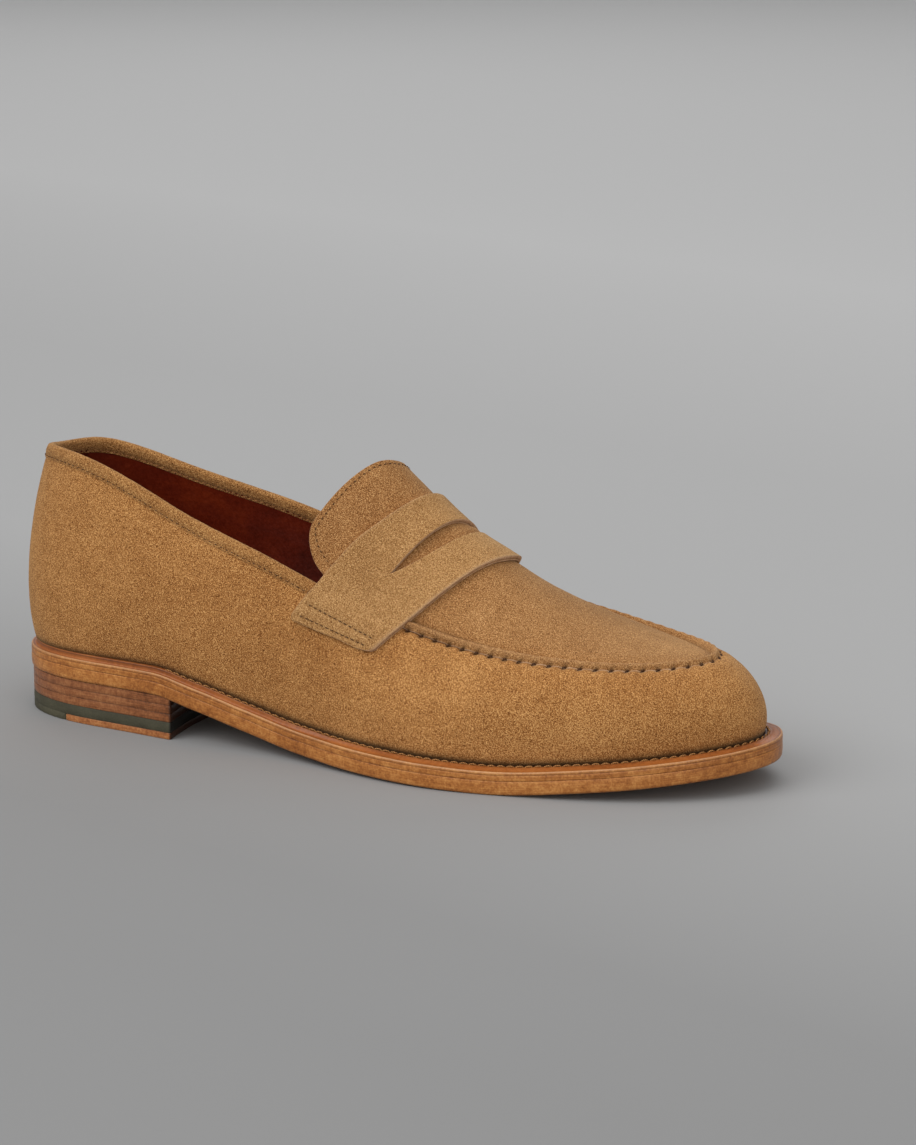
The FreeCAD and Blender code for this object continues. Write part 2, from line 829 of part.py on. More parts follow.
def make_all():
    parts = {}
    nail_group = make_heel_nails()
    pin_group = make_top_piece_pins()
    parts["outsole"] = make_outsole().cut(nail_group)
    parts["welt"] = make_welt()
    parts["insole_rib"] = make_insole_rib()
    parts["cork_filler"] = make_cork_filler()
    parts["shank"] = make_shank()
    parts["insole"] = make_insole()
    parts["sock_liner"] = make_sock_liner()
    for i, lift in enumerate(make_heel_lifts()):
        parts["heel_lift_%d" % (i + 1)] = lift.cut(nail_group)
    parts["heel_rubber"] = make_rubber().cut(pin_group)
    parts["heel_leather_tip"] = make_leather_tip().cut(pin_group)
    parts["heel_nails"] = nail_group
    parts["top_piece_pins"] = pin_group
    parts["side_wall"] = make_side_wall()
    parts["side_lining"] = make_side_lining()
    parts.update(make_stiffeners())
    parts["topline_tape"] = make_topline_tape()
    parts["topline_binding"] = make_topline_binding()
    parts["apron"] = make_apron()
    parts["apron_lining"] = make_apron_lining()
    parts["penny_strap"] = make_strap()
    parts["strap_backing"] = make_strap_backing()
    parts["welt_stitching"] = make_welt_stitching()
    parts["inseam_stitching"] = make_inseam_stitching()
    parts["apron_stitching"] = make_apron_stitching()
    parts["topline_stitching"] = make_topline_stitching(True)
    parts["lining_stitching"] = make_topline_stitching(False)
    parts["strap_stitching"] = make_strap_stitching()
    parts["tongue_stitching"] = make_tongue_stitching()
    return parts


os.makedirs("parts", exist_ok=True)
for name, shape in make_all().items():
    shape.translate(-SHOE_CENTRE)
    shape.exportStep("parts/%s.step" % name)
    box = shape.optimalBoundingBox() if len(shape.Solids) < 20 else shape.BoundBox
    print("%-20s valid %s n %d vol %8.0f  x %.1f %.1f  y %.1f %.1f  z %.1f %.1f" % (
        name, shape.isValid(), len(shape.Solids), shape.Volume,
        box.XMin, box.XMax, box.YMin, box.YMax, box.ZMin, box.ZMax))
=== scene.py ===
import math

import bpy
import numpy as np
from mathutils import Matrix, Vector


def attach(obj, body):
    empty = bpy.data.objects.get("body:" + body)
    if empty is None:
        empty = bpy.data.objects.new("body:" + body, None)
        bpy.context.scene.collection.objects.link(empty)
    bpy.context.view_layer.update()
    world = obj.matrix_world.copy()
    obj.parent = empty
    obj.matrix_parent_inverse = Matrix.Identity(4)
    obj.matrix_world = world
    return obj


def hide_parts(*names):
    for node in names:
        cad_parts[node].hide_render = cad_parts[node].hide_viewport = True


# Looks of a suede penny loafer (right shoe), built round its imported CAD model.
# Shapes are worked out in millimetres in the design frame of the last: x from the heel to the toe,
# +y the inner side, z up from the ground. new_mesh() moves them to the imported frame, in metres.

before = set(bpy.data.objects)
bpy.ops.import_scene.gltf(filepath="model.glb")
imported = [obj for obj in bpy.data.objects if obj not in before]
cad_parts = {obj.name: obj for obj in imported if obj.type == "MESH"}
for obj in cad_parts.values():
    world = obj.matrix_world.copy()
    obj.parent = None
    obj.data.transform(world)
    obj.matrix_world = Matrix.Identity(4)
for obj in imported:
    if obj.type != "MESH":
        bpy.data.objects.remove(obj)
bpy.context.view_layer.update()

# ---------------------------------------------------------------- dimensions, mm
CENTRE = np.array([150.5, -0.8, 0.0])
OUTSOLE = 5.2
WELT = 3.2
INSOLE = 3.4
SOCK = 0.9
SUEDE = 1.3
STIFFENER = 0.7
LINING = 0.8
GLUE = 0.06
WALL_THICKNESS = SUEDE + STIFFENER + LINING + 3 * GLUE
SOCK_BOTTOM = OUTSOLE + WELT + INSOLE + 2 * GLUE
HEEL_HEIGHT = 16.0
HEEL_LENGTH = 77.0
HEEL_INSET = 0.6
BREAST_HOLLOW = 1.8
BREAST_RADIUS = 160.0
RUBBER_TOP = 6.5
LEATHER_TIP = 2.5
TIP_ARC_X = 38.0
TIP_ARC_RADIUS = 62.0
TOPLINE_END = 144.0
STRAP = 1.3
STRAP_BACKING = 0.8
STRAP_REAR = 168.2
STRAP_FRONT = 196.8
STRAP_END = [(0, 80.3), (0.3, 79.6), (0.6, 78.5), (0.7, 77.7), (1.0, 71.9)]
STRAP_RAKE = 0.57
STRAP_EASE = 9.6
STRAP_LIFT = 0.3
STRAP_FOOT = 163.5
SLOT_MIDDLE = 182.0
SLOT_CENTRE = -9.0
SLOT_HALF_LENGTH = 32.7
SLOT_HALF_WIDTH = 2.95
TONGUE_CORNER = 130.3
TONGUE_BOW = 24.6
TONGUE_ROUND = 0.33
TONGUE_NARROW = 3.3
TONGUE_RADIUS = 9.0
APRON_FRONT = 271.0
WELT_SEAM_OUT = 1.7
WELT_SEAM_START = 76.0
WELT_PITCH = 3.4
APRON_PITCH = 5.5
TOPLINE_PITCH = 2.5
FINE_PITCH = 2.2

BOTTOM = [(0, 16), (70, 16), (90, 12.5), (110, 7.8), (135, 3.1), (160, 1.1),
          (190, 0.4), (213, 0), (250, 3.0), (280, 6.5), (300, 9.0)]
RISE = [(110, 50), (130, 49.9), (150, 48.6), (160, 43.4), (170, 36.9), (180, 31.6), (195, 23.9),
        (210, 17), (225, 11.4), (240, 7.2), (255, 4), (268, 1.7), (278.5, 0)]
FLATTEN = [(110, -0.03), (150, 0.146), (180, 0.274), (210, 0.235), (235, 0.213), (262, 0.182),
           (278.5, 0.1)]
LEAN = [(110, 0.137), (200, 0.137), (240, 0), (278.5, 0)]

# Stations round the last: sole's edge (x, y), welt's width, top edge of the side (x, y, z),
# bulge of the side near its foot (out, up) and near its top (out, down).
STATIONS = np.array([
    (1.5, 2.5, 2.0, 10.5, 1, 97.5, 6, 17, 9.5, 26),
    (7.5, -18.5, 2.3, 15, -15, 99.6, 5.5, 17, 8, 26),
    (26, -30.5, 2.8, 30, -25, 99.8, 4.5, 17, 6, 26),
    (54, -35, 3.4, 54, -29.3, 94.2, 4, 16, 6, 24),
    (84, -38.3, 4.0, 84, -30, 81.4, 4, 15, 6.5, 20),
    (118, -40, 4.8, 118, -32, 70.4, 4, 14, 7, 16),
    (152, -46.5, 5.8, 150, -34.3, 59.4, 4, 13, 6, 12),
    (188, -52, 6.6, 184, -33.5, 49.5, 4, 13, 8, 11),
    (222, -47.5, 6.8, 215, -33, 45.3, 4, 13, 10, 9),
    (256, -38.5, 6.8, 245, -27, 43.9, 3.5, 12, 9.5, 6),
    (284, -22.5, 6.8, 266, -14.5, 43.6, 4, 11, 10.5, 4),
    (300.5, 6, 6.8, 278.5, 5, 44.5, 4.5, 11, 11, 3.5),
    (290, 30, 6.8, 269, 22.5, 43.6, 4, 11, 10.5, 4),
    (262, 42.5, 6.4, 248, 34, 43.8, 3.5, 12, 9.5, 6),
    (230, 49, 5.8, 220, 41, 46.3, 3.5, 13, 9, 9),
    (196, 49.5, 5.0, 188, 41, 51.5, 3, 14, 7, 11),
    (160, 41, 3.8, 155, 37, 58.5, 3, 15, 5, 13),
    (124, 33, 3.2, 122, 34, 68, 3, 16, 5, 17),
    (88, 31, 3.0, 88, 32, 78, 3.5, 17, 5, 20),
    (54, 33.5, 2.8, 54, 30.5, 85.5, 4, 17, 6, 24),
    (26, 32.5, 2.6, 28, 26, 93, 4.5, 17, 6, 26),
    (8, 21.5, 2.3, 15, 17, 96.5, 5.5, 17, 8, 26),
], float)
TOE_STATION = 11

RIM_PROFILE = ((0.12, 0.75), (0.5, 1.0), (0.88, 0.75))     # rim's (share of thickness, reach)
THREAD_STEPS = 9
THREAD_CORNERS = 8
PIN_COUNT = 69
PIN_INSET = 6.0
PIN_CORNERS = 12
PIN_PROFILE = ((0.62, 2.0), (0.62, 0.12), (0.5, 0.03), (0.25, 0.0))     # (radius, height)


# ---------------------------------------------------------------- curves
def shape_preserving(points):
    """Smooth curve through (x, value) points that never overshoots them."""
    xs, ys = np.array(points, float).T
    step = np.diff(xs)
    rate = np.diff(ys) / step
    slope = np.zeros(len(xs))
    slope[0], slope[-1] = rate[0], rate[-1]
    for i in range(1, len(xs) - 1):
        if rate[i - 1] * rate[i] > 0:
            before = 2 * step[i] + step[i - 1]
            after = step[i] + 2 * step[i - 1]
            slope[i] = (before + after) / (before / rate[i - 1] + after / rate[i])

    def value(x):
        x = np.clip(x, xs[0], xs[-1])
        i = np.clip(np.searchsorted(xs, x, side="left") - 1, 0, len(xs) - 2)
        t = (x - xs[i]) / step[i]
        rest = 1 - t
        ends = (1 + 2 * t) * rest ** 2 * ys[i] + t * t * (3 - 2 * t) * ys[i + 1]
        return ends + t * rest * step[i] * (rest * slope[i] - t * slope[i + 1])

    return value


def closed_spline(places, values):
    """Closed cubic spline of period 1 through the values at the places."""
    count = len(places)
    step = (np.roll(places, -1) - places) % 1.0
    rate = (np.roll(values, -1) - values) / step
    system = np.zeros((count, count))
    for i in range(count):
        system[i, i - 1] += step[i - 1]
        system[i, i] += 2 * (step[i - 1] + step[i])
        system[i, (i + 1) % count] += step[i]
    bend = np.linalg.solve(system, 6 * (rate - np.roll(rate, 1)))

    def value(u):
        u = np.asarray(u, float) % 1.0
        i = np.searchsorted(places, u, side="right") - 1
        j = (i + 1) % count
        gone = u - places[i]
        left = step[i] - gone
        curve = (bend[i] * left ** 3 + bend[j] * gone ** 3) / (6 * step[i])
        start = (values[i] / step[i] - bend[i] * step[i] / 6) * left
        end = (values[j] / step[i] - bend[j] * step[i] / 6) * gone
        return curve + start + end

    return value


EDGE_RUNS = np.linalg.norm(np.roll(STATIONS[:, :2], -1, axis=0) - STATIONS[:, :2], axis=1)
PLACES = np.concatenate([[0.0], np.cumsum(EDGE_RUNS)[:-1]]) / EDGE_RUNS.sum()
EDGE_LENGTH = EDGE_RUNS.sum()
LAST = [closed_spline(PLACES, STATIONS[:, k]) for k in range(10)]
TOE = PLACES[TOE_STATION]
bottom_height = shape_preserving(BOTTOM)
ridge_rise = shape_preserving(RISE)
arch_flatten = shape_preserving(FLATTEN)
ridge_lean = shape_preserving(LEAN)


def unit(v):
    return v / np.maximum(np.linalg.norm(v, axis=-1, keepdims=True), 1e-12)


def xyz(x, y, z):
    return np.stack(np.broadcast_arrays(x, y, z), axis=-1).astype(float)


def plan(u, inset):
    """Point of the sole's plan (x, y), inset from the sole's edge."""
    ax, ay = LAST[0](u - 1e-4), LAST[1](u - 1e-4)
    bx, by = LAST[0](u + 1e-4), LAST[1](u + 1e-4)
    length = np.hypot(bx - ax, by - ay)
    nx, ny = (by - ay) / length, (ax - bx) / length
    return LAST[0](u) - nx * inset, LAST[1](u) - ny * inset, nx, ny


def top_line(u):
    return xyz(LAST[3](u), LAST[4](u), LAST[5](u))


def wall(u, v):
    """Outer face of the shoe's side, from the welt (v = 0) to its top edge (v = 1)."""
    u, v = np.broadcast_arrays(np.asarray(u, float), np.asarray(v, float))
    x, y, nx, ny = plan(u, LAST[2](u))
    side = xyz(nx, ny, 0)
    up = np.array([0, 0, 1.0])
    foot = xyz(x, y, bottom_height(x) + OUTSOLE + WELT + GLUE)
    top = top_line(u)
    low = foot + side * LAST[6](u)[..., None] + up * LAST[7](u)[..., None]
    high = top + side * LAST[8](u)[..., None] - up * LAST[9](u)[..., None]
    v = v[..., None]
    w = 1 - v
    return foot * w ** 3 + low * (3 * w * w * v) + high * (3 * w * v * v) + top * v ** 3


def wall_normal(u, v):
    v = np.asarray(v, float)
    along = wall(u + 1e-4, v) - wall(u - 1e-4, v)
    up = wall(u, np.minimum(v + 1e-3, 1)) - wall(u, np.maximum(v - 1e-3, 0))
    return unit(np.cross(along, up))


def wall_depth(u, v, depth):
    """Point at a depth under the wall's outer face. The layers thin towards the top edge."""
    skive = 1 - 0.3 * np.clip((v - 0.75) / 0.25, 0, None)
    return wall(u, v) - wall_normal(u, v) * (np.asarray(depth) * skive)[..., None]


RAIL_TABLES = []
for start in (0.03, 0.97):
    places = np.linspace(start, TOE, 4000)
    RAIL_TABLES.append((LAST[3](places), places))


def place_at(x, outer_side):
    """Place round the last where the wall's top edge is at x."""
    xs, places = RAIL_TABLES[0 if outer_side else 1]
    return np.interp(x, xs, places)


def rails(x):
    return top_line(place_at(x, True)), top_line(place_at(x, False))


def crown(x, y):
    """Height of the apron, instep and tongue over a point in plan."""
    outer, inner = rails(x)
    half = np.maximum((inner[..., 1] - outer[..., 1]) / 2, 1e-3)
    across = np.clip((y - outer[..., 1]) / half - 1, -1, 1)
    level = outer[..., 2] + (inner[..., 2] - outer[..., 2]) * (across + 1) / 2
    across = across + ridge_lean(x) * (1 - across ** 2)
    arch = (1 - across ** 2) * (1 - arch_flatten(x) * across ** 2)
    return level + ridge_rise(x) * arch


def crown_normal(x, y):
    dx = (crown(x + 0.2, y) - crown(x - 0.2, y)) / 0.4
    dy = (crown(x, y + 0.2) - crown(x, y - 0.2)) / 0.4
    return unit(xyz(-dx, -dy, 1))


# ---------------------------------------------------------------- noise and small helpers
def lattice_noise(points, cell, seed):
    """Smooth value noise from -1 to 1 with features of about the cell's size."""
    q = points / cell
    base = np.floor(q).astype(np.int64)
    f = q - base
    f = f * f * f * (f * (f * 6 - 15) + 10)
    total = np.zeros(points.shape[:-1])
    for corner in np.ndindex(2, 2, 2):
        c = base + np.array(corner)
        h = (c[..., 0] * 73856093) ^ (c[..., 1] * 19349663) ^ (c[..., 2] * 83492791)
        h = (h ^ (seed * 2654435761)) & 0xFFFFFFFF
        h = ((h ^ (h >> 15)) * 2246822519) & 0xFFFFFFFF
        h = ((h ^ (h >> 13)) * 3266489917) & 0xFFFFFFFF
        weight = np.ones(points.shape[:-1])
        for axis in range(3):
            weight = weight * (f[..., axis] if corner[axis] else 1 - f[..., axis])
        total += weight * ((h ^ (h >> 16)) / 2147483647.5 - 1)
    return total


def suede_relief(points):
    """Height of the suede's soft waves and nap over its smooth shape."""
    return (0.16 * lattice_noise(points, 26.0, 1) + 0.05 * lattice_noise(points, 9.0, 2)
            + 0.03 * lattice_noise(points, 2.6, 3) + 0.035 * lattice_noise(points, 1.3, 4))


def bump_at(distance, width):
    return np.exp(-(distance / width) ** 2)


def nearest(points, targets):
    """Distance from each point to the nearest target, and that target's index."""
    flat = points.reshape(-1, 3)
    best = np.empty(len(flat))
    which = np.empty(len(flat), int)
    for start in range(0, len(flat), 4000):
        part = flat[start:start + 4000]
        squared = ((part ** 2).sum(1)[:, None] - 2 * part @ targets.T
                   + (targets ** 2).sum(1)[None, :])
        which[start:start + 4000] = squared.argmin(1)
        best[start:start + 4000] = np.sqrt(np.maximum(squared.min(1), 0))
    return best.reshape(points.shape[:-1]), which.reshape(points.shape[:-1])


def arc_lengths(path):
    runs = np.linalg.norm(np.diff(path, axis=0), axis=1)
    return np.concatenate([[0.0], np.cumsum(runs)])


def along(path, distances, values=None):
    """Points at distances along a polyline, or the values that its points hold there."""
    lengths = arc_lengths(path)
    values = path if values is None else values
    return np.stack([np.interp(distances, lengths, column) for column in values.T], 1)


def spread(*stretches):
    """Numbers over joined stretches, each (start, end, count)."""
    joined = [np.linspace(a, b, count, endpoint=False) for a, b, count in stretches]
    return np.concatenate(joined + [[stretches[-1][1]]])


# ---------------------------------------------------------------- meshes
def grid_quads(rows, columns, wrap_rows=False, wrap_columns=False):
    """Quads of a grid of points numbered row by row."""
    i = np.arange(rows if wrap_rows else rows - 1)
    j = np.arange(columns if wrap_columns else columns - 1)
    i, j = np.meshgrid(i, j, indexing="ij")
    i2, j2 = (i + 1) % rows, (j + 1) % columns
    quads = np.stack([i * columns + j, i2 * columns + j, i2 * columns + j2, i * columns + j2], -1)
    return quads.reshape(-1, 4)


def new_mesh(name, points, faces, materials, replaces, marks=None, picks=None):
    """Object from points in mm and faces. marks are named values of each point that the
    materials read, and picks the material number of each face."""
    mesh = bpy.data.meshes.new(name)
    points = np.asarray(points, float).reshape(-1, 3)
    faces = faces if isinstance(faces, list) else faces.tolist()
    loops = [list(dict.fromkeys(face)) for face in faces]
    kept = [number for number, loop in enumerate(loops) if len(loop) > 2]
    mesh.from_pydata(((points - CENTRE) / 1000).tolist(), [], [loops[k] for k in kept])
    mesh.polygons.foreach_set("use_smooth", [True] * len(kept))
    for material in materials:
        mesh.materials.append(material)
    if picks is not None:
        mesh.polygons.foreach_set("material_index", np.asarray(picks)[kept].astype(np.int32))
    for key, values in (marks or {}).items():
        attribute = mesh.attributes.new(key, "FLOAT", "POINT")
        attribute.data.foreach_set("value", np.asarray(values, np.float32).ravel())
    mesh.validate()
    mesh.update()
    obj = bpy.data.objects.new(name, mesh)
    bpy.context.scene.collection.objects.link(obj)
    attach(obj, "root")
    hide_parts(*replaces)


def thick_sheet(outer, inner, quads, bulge):
    """Closed sheet between matching points, with a rounded rim along each free edge. Returns the
    points, the faces, each face's pick (0 outer, 1 rim, 2 inner) and each point's source."""
    count = len(outer)
    edges = np.concatenate([quads[:, [k, (k + 1) % 4]] for k in range(4)])
    edges = edges[edges[:, 0] != edges[:, 1]]
    free = edges[~np.isin(edges[:, 0] * count + edges[:, 1], edges[:, 1] * count + edges[:, 0])]
    normal = unit(outer - inner)
    outward = np.zeros_like(outer)
    direction = unit(outer[free[:, 1]] - outer[free[:, 0]])
    for end in (0, 1):
        np.add.at(outward, free[:, end], np.cross(direction, normal[free[:, end]]))
    rim = np.unique(free)
    outward = unit(outward[rim])
    rank = np.full(count, -1)
    rank[rim] = np.arange(len(rim))
    points, faces, before, total = [outer], [quads], free, count
    for share, reach in RIM_PROFILE:
        points.append(outer[rim] * (1 - share) + inner[rim] * share + outward * bulge * reach)
        ring = rank[free] + total
        faces.append(np.stack([before[:, 1], before[:, 0], ring[:, 0], ring[:, 1]], 1))
        before = ring
        total += len(rim)
    points.append(inner)
    last = free + total
    faces.append(np.stack([before[:, 1], before[:, 0], last[:, 0], last[:, 1]], 1))
    faces.append(quads[:, ::-1] + total)
    picks = np.repeat([0, 1, 2], [len(quads), len(free) * (len(RIM_PROFILE) + 1), len(quads)])
    source = np.concatenate([np.arange(count), *[rim] * len(RIM_PROFILE), np.arange(count)])
    return np.concatenate(points), np.concatenate(faces), picks, source


def sheet_piece(name, outer, inner, quads, materials, node, marks, bulge=0.12):
    """Piece that is a thick sheet. materials are those of its outer face, rim and inner face, or
    one for all, and marks are values of the sheet's points."""
    used, quads = np.unique(quads, return_inverse=True)
    points, faces, picks, source = thick_sheet(
        outer.reshape(-1, 3)[used], inner.reshape(-1, 3)[used], quads.reshape(-1, 4), bulge)
    marks = {key: np.broadcast_to(values, outer.shape[:-1]).ravel()[used][source]
             for key, values in marks.items()}
    new_mesh(name, points, faces, materials, [node], marks,
             picks if len(materials) > 1 else None)


def threads(name, stitches, radius, material, node, arch, sink):
    """Round threads. stitches holds their starts, ends and outward normals. Each thread arches
    over its seam and dips in at both ends, where it is thinner."""
    start, end, normal = stitches
    normal = unit(normal)
    side = unit(np.cross(normal, unit(end - start)))
    points = []
    for share in np.linspace(0, 1, THREAD_STEPS):
        lift = radius * arch + radius * 1.4 * math.sin(math.pi * share) ** 0.7
        dive = sink * abs(2 * share - 1) ** 4
        middle = start + (end - start) * share + normal * (lift - dive)
        thin = radius * (0.55 + 0.45 * math.sin(math.pi * min(max(share, 0.02), 0.98)) ** 0.4)
        for corner in range(THREAD_CORNERS):
            angle = 2 * math.pi * corner / THREAD_CORNERS
            points.append(middle + (side * math.cos(angle) + normal * math.sin(angle)) * thin)
    count = THREAD_STEPS * THREAD_CORNERS
    tube = grid_quads(THREAD_STEPS, THREAD_CORNERS, wrap_columns=True)[:, ::-1]
    first = np.arange(THREAD_CORNERS)
    faces = []
    for base in range(0, len(start) * count, count):
        faces += (tube + base).tolist()
        faces += [(first[::-1] + base).tolist(), (first + base + count - THREAD_CORNERS).tolist()]
    new_mesh(name, np.stack(points, 1), faces, [material], [node])


# ---------------------------------------------------------------- materials
SOCKETS = {"roughness": "Roughness", "metallic": "Metallic", "specular": "Specular IOR Level",
           "sheen": "Sheen Weight", "sheen_roughness": "Sheen Roughness",
           "coat": "Coat Weight", "coat_roughness": "Coat Roughness"}


def shader(name):
    material = bpy.data.materials.new(name)
    material.use_nodes = True
    tree = material.node_tree
    tree.nodes.clear()
    output = tree.nodes.new("ShaderNodeOutputMaterial")
    surface = tree.nodes.new("ShaderNodeBsdfPrincipled")
    tree.links.new(surface.outputs[0], output.inputs[0])
    return material, tree, surface


def colour(r, g, b):
    """Linear colour from display values, 0 to 255."""
    shares = [c / 255 for c in (r, g, b)]
    return (*[c / 12.92 if c <= 0.04045 else ((c + 0.055) / 1.055) ** 2.4 for c in shares], 1.0)


def put(tree, socket, value):
    """Gives a socket a plain value or links a signal to it."""
    if isinstance(value, bpy.types.NodeSocket):
        tree.links.new(value, socket)
    else:
        socket.default_value = value


def texture(tree, kind, output, vector=None, **values):
    """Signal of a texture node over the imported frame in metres, or over another vector."""
    node = tree.nodes.new(kind)
    for key, value in values.items():
        node.inputs[key].default_value = value
    if vector is None:
        vector = tree.nodes.new("ShaderNodeTexCoord").outputs["Object"]
    tree.links.new(vector, node.inputs["Vector"])
    return node.outputs[output]


def noises(tree, *specs, vector=None):
    """Noise signals, each (features per metre, detail, roughness) and perhaps a stretch."""
    signals = []
    for scale, detail, roughness, *stretch in specs:
        place = vector
        if stretch:
            place = texture(tree, "ShaderNodeMapping", 0, vector, Scale=stretch[0])
        signals.append(texture(tree, "ShaderNodeTexNoise", "Fac", place, Scale=scale,
                               Detail=detail, Roughness=roughness))
    return signals


def maths(tree, operation, *values):
    node = tree.nodes.new("ShaderNodeMath")
    node.operation = operation
    for socket, value in zip(node.inputs, values):
        put(tree, socket, value)
    return node.outputs[0]


def mixed(tree, *weights):
    """Weighted sum of signals, each centred on 0.5."""
    total = None
    for signal, weight in weights:
        part = maths(tree, "MULTIPLY", maths(tree, "SUBTRACT", signal, 0.5), weight)
        total = part if total is None else maths(tree, "ADD", total, part)
    return maths(tree, "ADD", total, 0.5)


def ramp(tree, signal, stops):
    """Colour of a signal. stops are (place, display colour)."""
    node = tree.nodes.new("ShaderNodeValToRGB")
    elements = node.color_ramp.elements
    while len(elements) < len(stops):
        elements.new(0.5)
    for element, (position, shade) in zip(elements, stops):
        element.position = position
        element.color = colour(*shade)
    tree.links.new(signal, node.inputs[0])
    return node.outputs[0]


def blended(tree, factor, a, b):
    node = tree.nodes.new("ShaderNodeMix")
    node.data_type = "RGBA"
    for socket, value in zip([s for s in node.inputs if s.type == "RGBA"], (a, b)):
        put(tree, socket, value)
    put(tree, node.inputs["Factor"], factor)
    return next(s for s in node.outputs if s.type == "RGBA")


def mark(tree, key):
    """Signal of a mark that the mesh's points hold."""
    node = tree.nodes.new("ShaderNodeAttribute")
    node.attribute_name = key
    return node.outputs["Fac"]


def finished(parts, tone, places, shades, height, bump, rough=None, tints={}, **values):
    """Finishes a surface: its colours along the tone, the tints that marks blend in, its relief
    with bump (strength, distance), rough (signal, range, lowest) and its plain values."""
    material, tree, surface = parts
    shade = ramp(tree, tone, list(zip(places, shades)))
    # The marks blend in their tints. One adds painted shade in holes and creases and on the heel's
    # breast, along with darker joint and seam lines. The other adds painted highlights, along with
    # paler cut edges.
    for key, tint in tints.items():
        shade = blended(tree, mark(tree, key), shade, colour(*tint))
    tree.links.new(shade, surface.inputs["Base Color"])
    node = tree.nodes.new("ShaderNodeBump")
    node.inputs["Strength"].default_value, node.inputs["Distance"].default_value = bump
    tree.links.new(height, node.inputs["Height"])
    tree.links.new(node.outputs[0], surface.inputs["Normal"])
    if rough:
        tree.links.new(maths(tree, "MULTIPLY_ADD", *rough), surface.inputs["Roughness"])
    for key, value in values.items():
        surface.inputs[SOCKETS[key]].default_value = value
    return material


def suede(name, *shades, grain=1.0):
    """Napped calf suede: speckled nap, soft patches where the nap lies another way."""
    parts = shader(name)
    tree = parts[1]
    speckle, clusters, brushed, mottle, patches = noises(
        tree, (3300, 1.0, 0.5), (1500, 2, 0.6), (300, 2, 0.6, (0.35, 1.0, 1.0)), (70, 2, 0.5),
        (16, 2, 0.5))
    tone = mixed(tree, (speckle, 2.1 * grain), (clusters, 0.55 * grain), (brushed, 0.14),
                 (mottle, 0.16), (patches, 0.26))
    height = mixed(tree, (speckle, 1.0), (clusters, 0.8), (brushed, 0.3))
    parts[2].inputs["Sheen Tint"].default_value = colour(255, 226, 178)
    # Dark tint: painted shade in stitch holes, seams and creases. Pale tint: the paler cut edge,
    # and a painted highlight on the apron ridge's crest.
    return finished(parts, tone, (0.15, 0.5, 0.86), shades, height, (0.55, 0.0004),
                    tints={"dark": (46, 24, 8), "pale": (196, 160, 122)},
                  roughness=0.93, specular=0.12, sheen=0.2, sheen_roughness=0.45)


def raw_edge(name, *shades):
    """Cut edge of the suede: paler, greyer, fibrous."""
    parts = shader(name)
    fibres, strands = noises(parts[1], (1900, 3, 0.7), (500, 2, 0.6))
    tone = mixed(parts[1], (fibres, 1.0), (strands, 0.6))
    return finished(parts, tone, (0.2, 0.5, 0.82), shades, tone, (0.6, 0.0004),
                    roughness=0.95, specular=0.1)


def burnished_edge(name, *shades, ridges, streaks):
    """Waxed edge of leather layers: fine upright ridges, streaks along the layers, pores."""
    parts = shader(name)
    tree = parts[1]
    place = tree.nodes.new("ShaderNodeCombineXYZ")
    tree.links.new(mark(tree, "along"), place.inputs[0])
    tree.links.new(mark(tree, "rise"), place.inputs[1])
    upright, layered = noises(tree, (1.0, 2, 0.5, (1.7, 0.10, 1.0)),
                              (1.0, 3, 0.6, (0.07, 2.6, 1.0)), vector=place.outputs[0])
    pores, grain, patches = noises(tree, (1300, 3, 0.7), (430, 3, 0.65), (40, 2, 0.5))
    tone = mixed(tree, (upright, ridges), (layered, streaks), (pores, 0.6), (grain, 0.65),
                 (patches, 0.35))
    height = mixed(tree, (upright, ridges), (layered, streaks * 0.6), (pores, 0.5), (grain, 0.5))
    # Dark tint: darker lines at the heel's lift joints, in the welt rim's grooves and round the
    # sole's lower edge, and painted shade on the heel's breast. Pale tint: painted highlight on the
    # welt's rounded rim.
    return finished(parts, tone, (0.2, 0.5, 0.82), shades, height, (0.35, 0.00035),
                    (grain, 0.25, 0.27), {"dark": (48, 22, 8), "pale": (226, 188, 146)},
                  specular=0.32, coat=0.06, coat_roughness=0.3)


def smooth_leather(name, *shades, roughness, pore_scale=900, coat=0.0, crease=0.35):
    """Grain leather: pores, faint creases and uneven dye."""
    parts = shader(name)
    tree = parts[1]
    pores = texture(tree, "ShaderNodeTexVoronoi", "Distance", Scale=pore_scale)
    fine, dye, folds = noises(tree, (700, 3, 0.6), (35, 3, 0.55), (110, 3, 0.6, (1.0, 0.4, 2.0)))
    tone = mixed(tree, (fine, 0.35), (dye, 0.6), (folds, crease))
    height = mixed(tree, (pores, 0.6), (fine, 0.5), (folds, crease))
    # Dark tint: painted shade in the crease between the welt's top and the upper, and darker lines
    # at the lining's and the sock pad's seams and along the sole's stitch channel.
    return finished(parts, tone, (0.25, 0.5, 0.78), shades, height, (0.3, 0.0003),
                    (fine, 0.2, roughness - 0.1), {"dark": (48, 18, 6)},
                  specular=0.4, coat=coat, coat_roughness=0.25)


def rubber_compound(name, *shades):
    parts = shader(name)
    grit, scuffs = noises(parts[1], (1500, 3, 0.65), (90, 3, 0.6))
    tone = mixed(parts[1], (grit, 0.5), (scuffs, 0.6))
    # Dark tint: painted shade on the rubber's face under the heel's breast, and darker lines at its
    # joints.
    return finished(parts, tone, (0.25, 0.5, 0.8), shades, tone, (0.3, 0.0003),
                    tints={"dark": (18, 16, 12)}, roughness=0.62, specular=0.35)


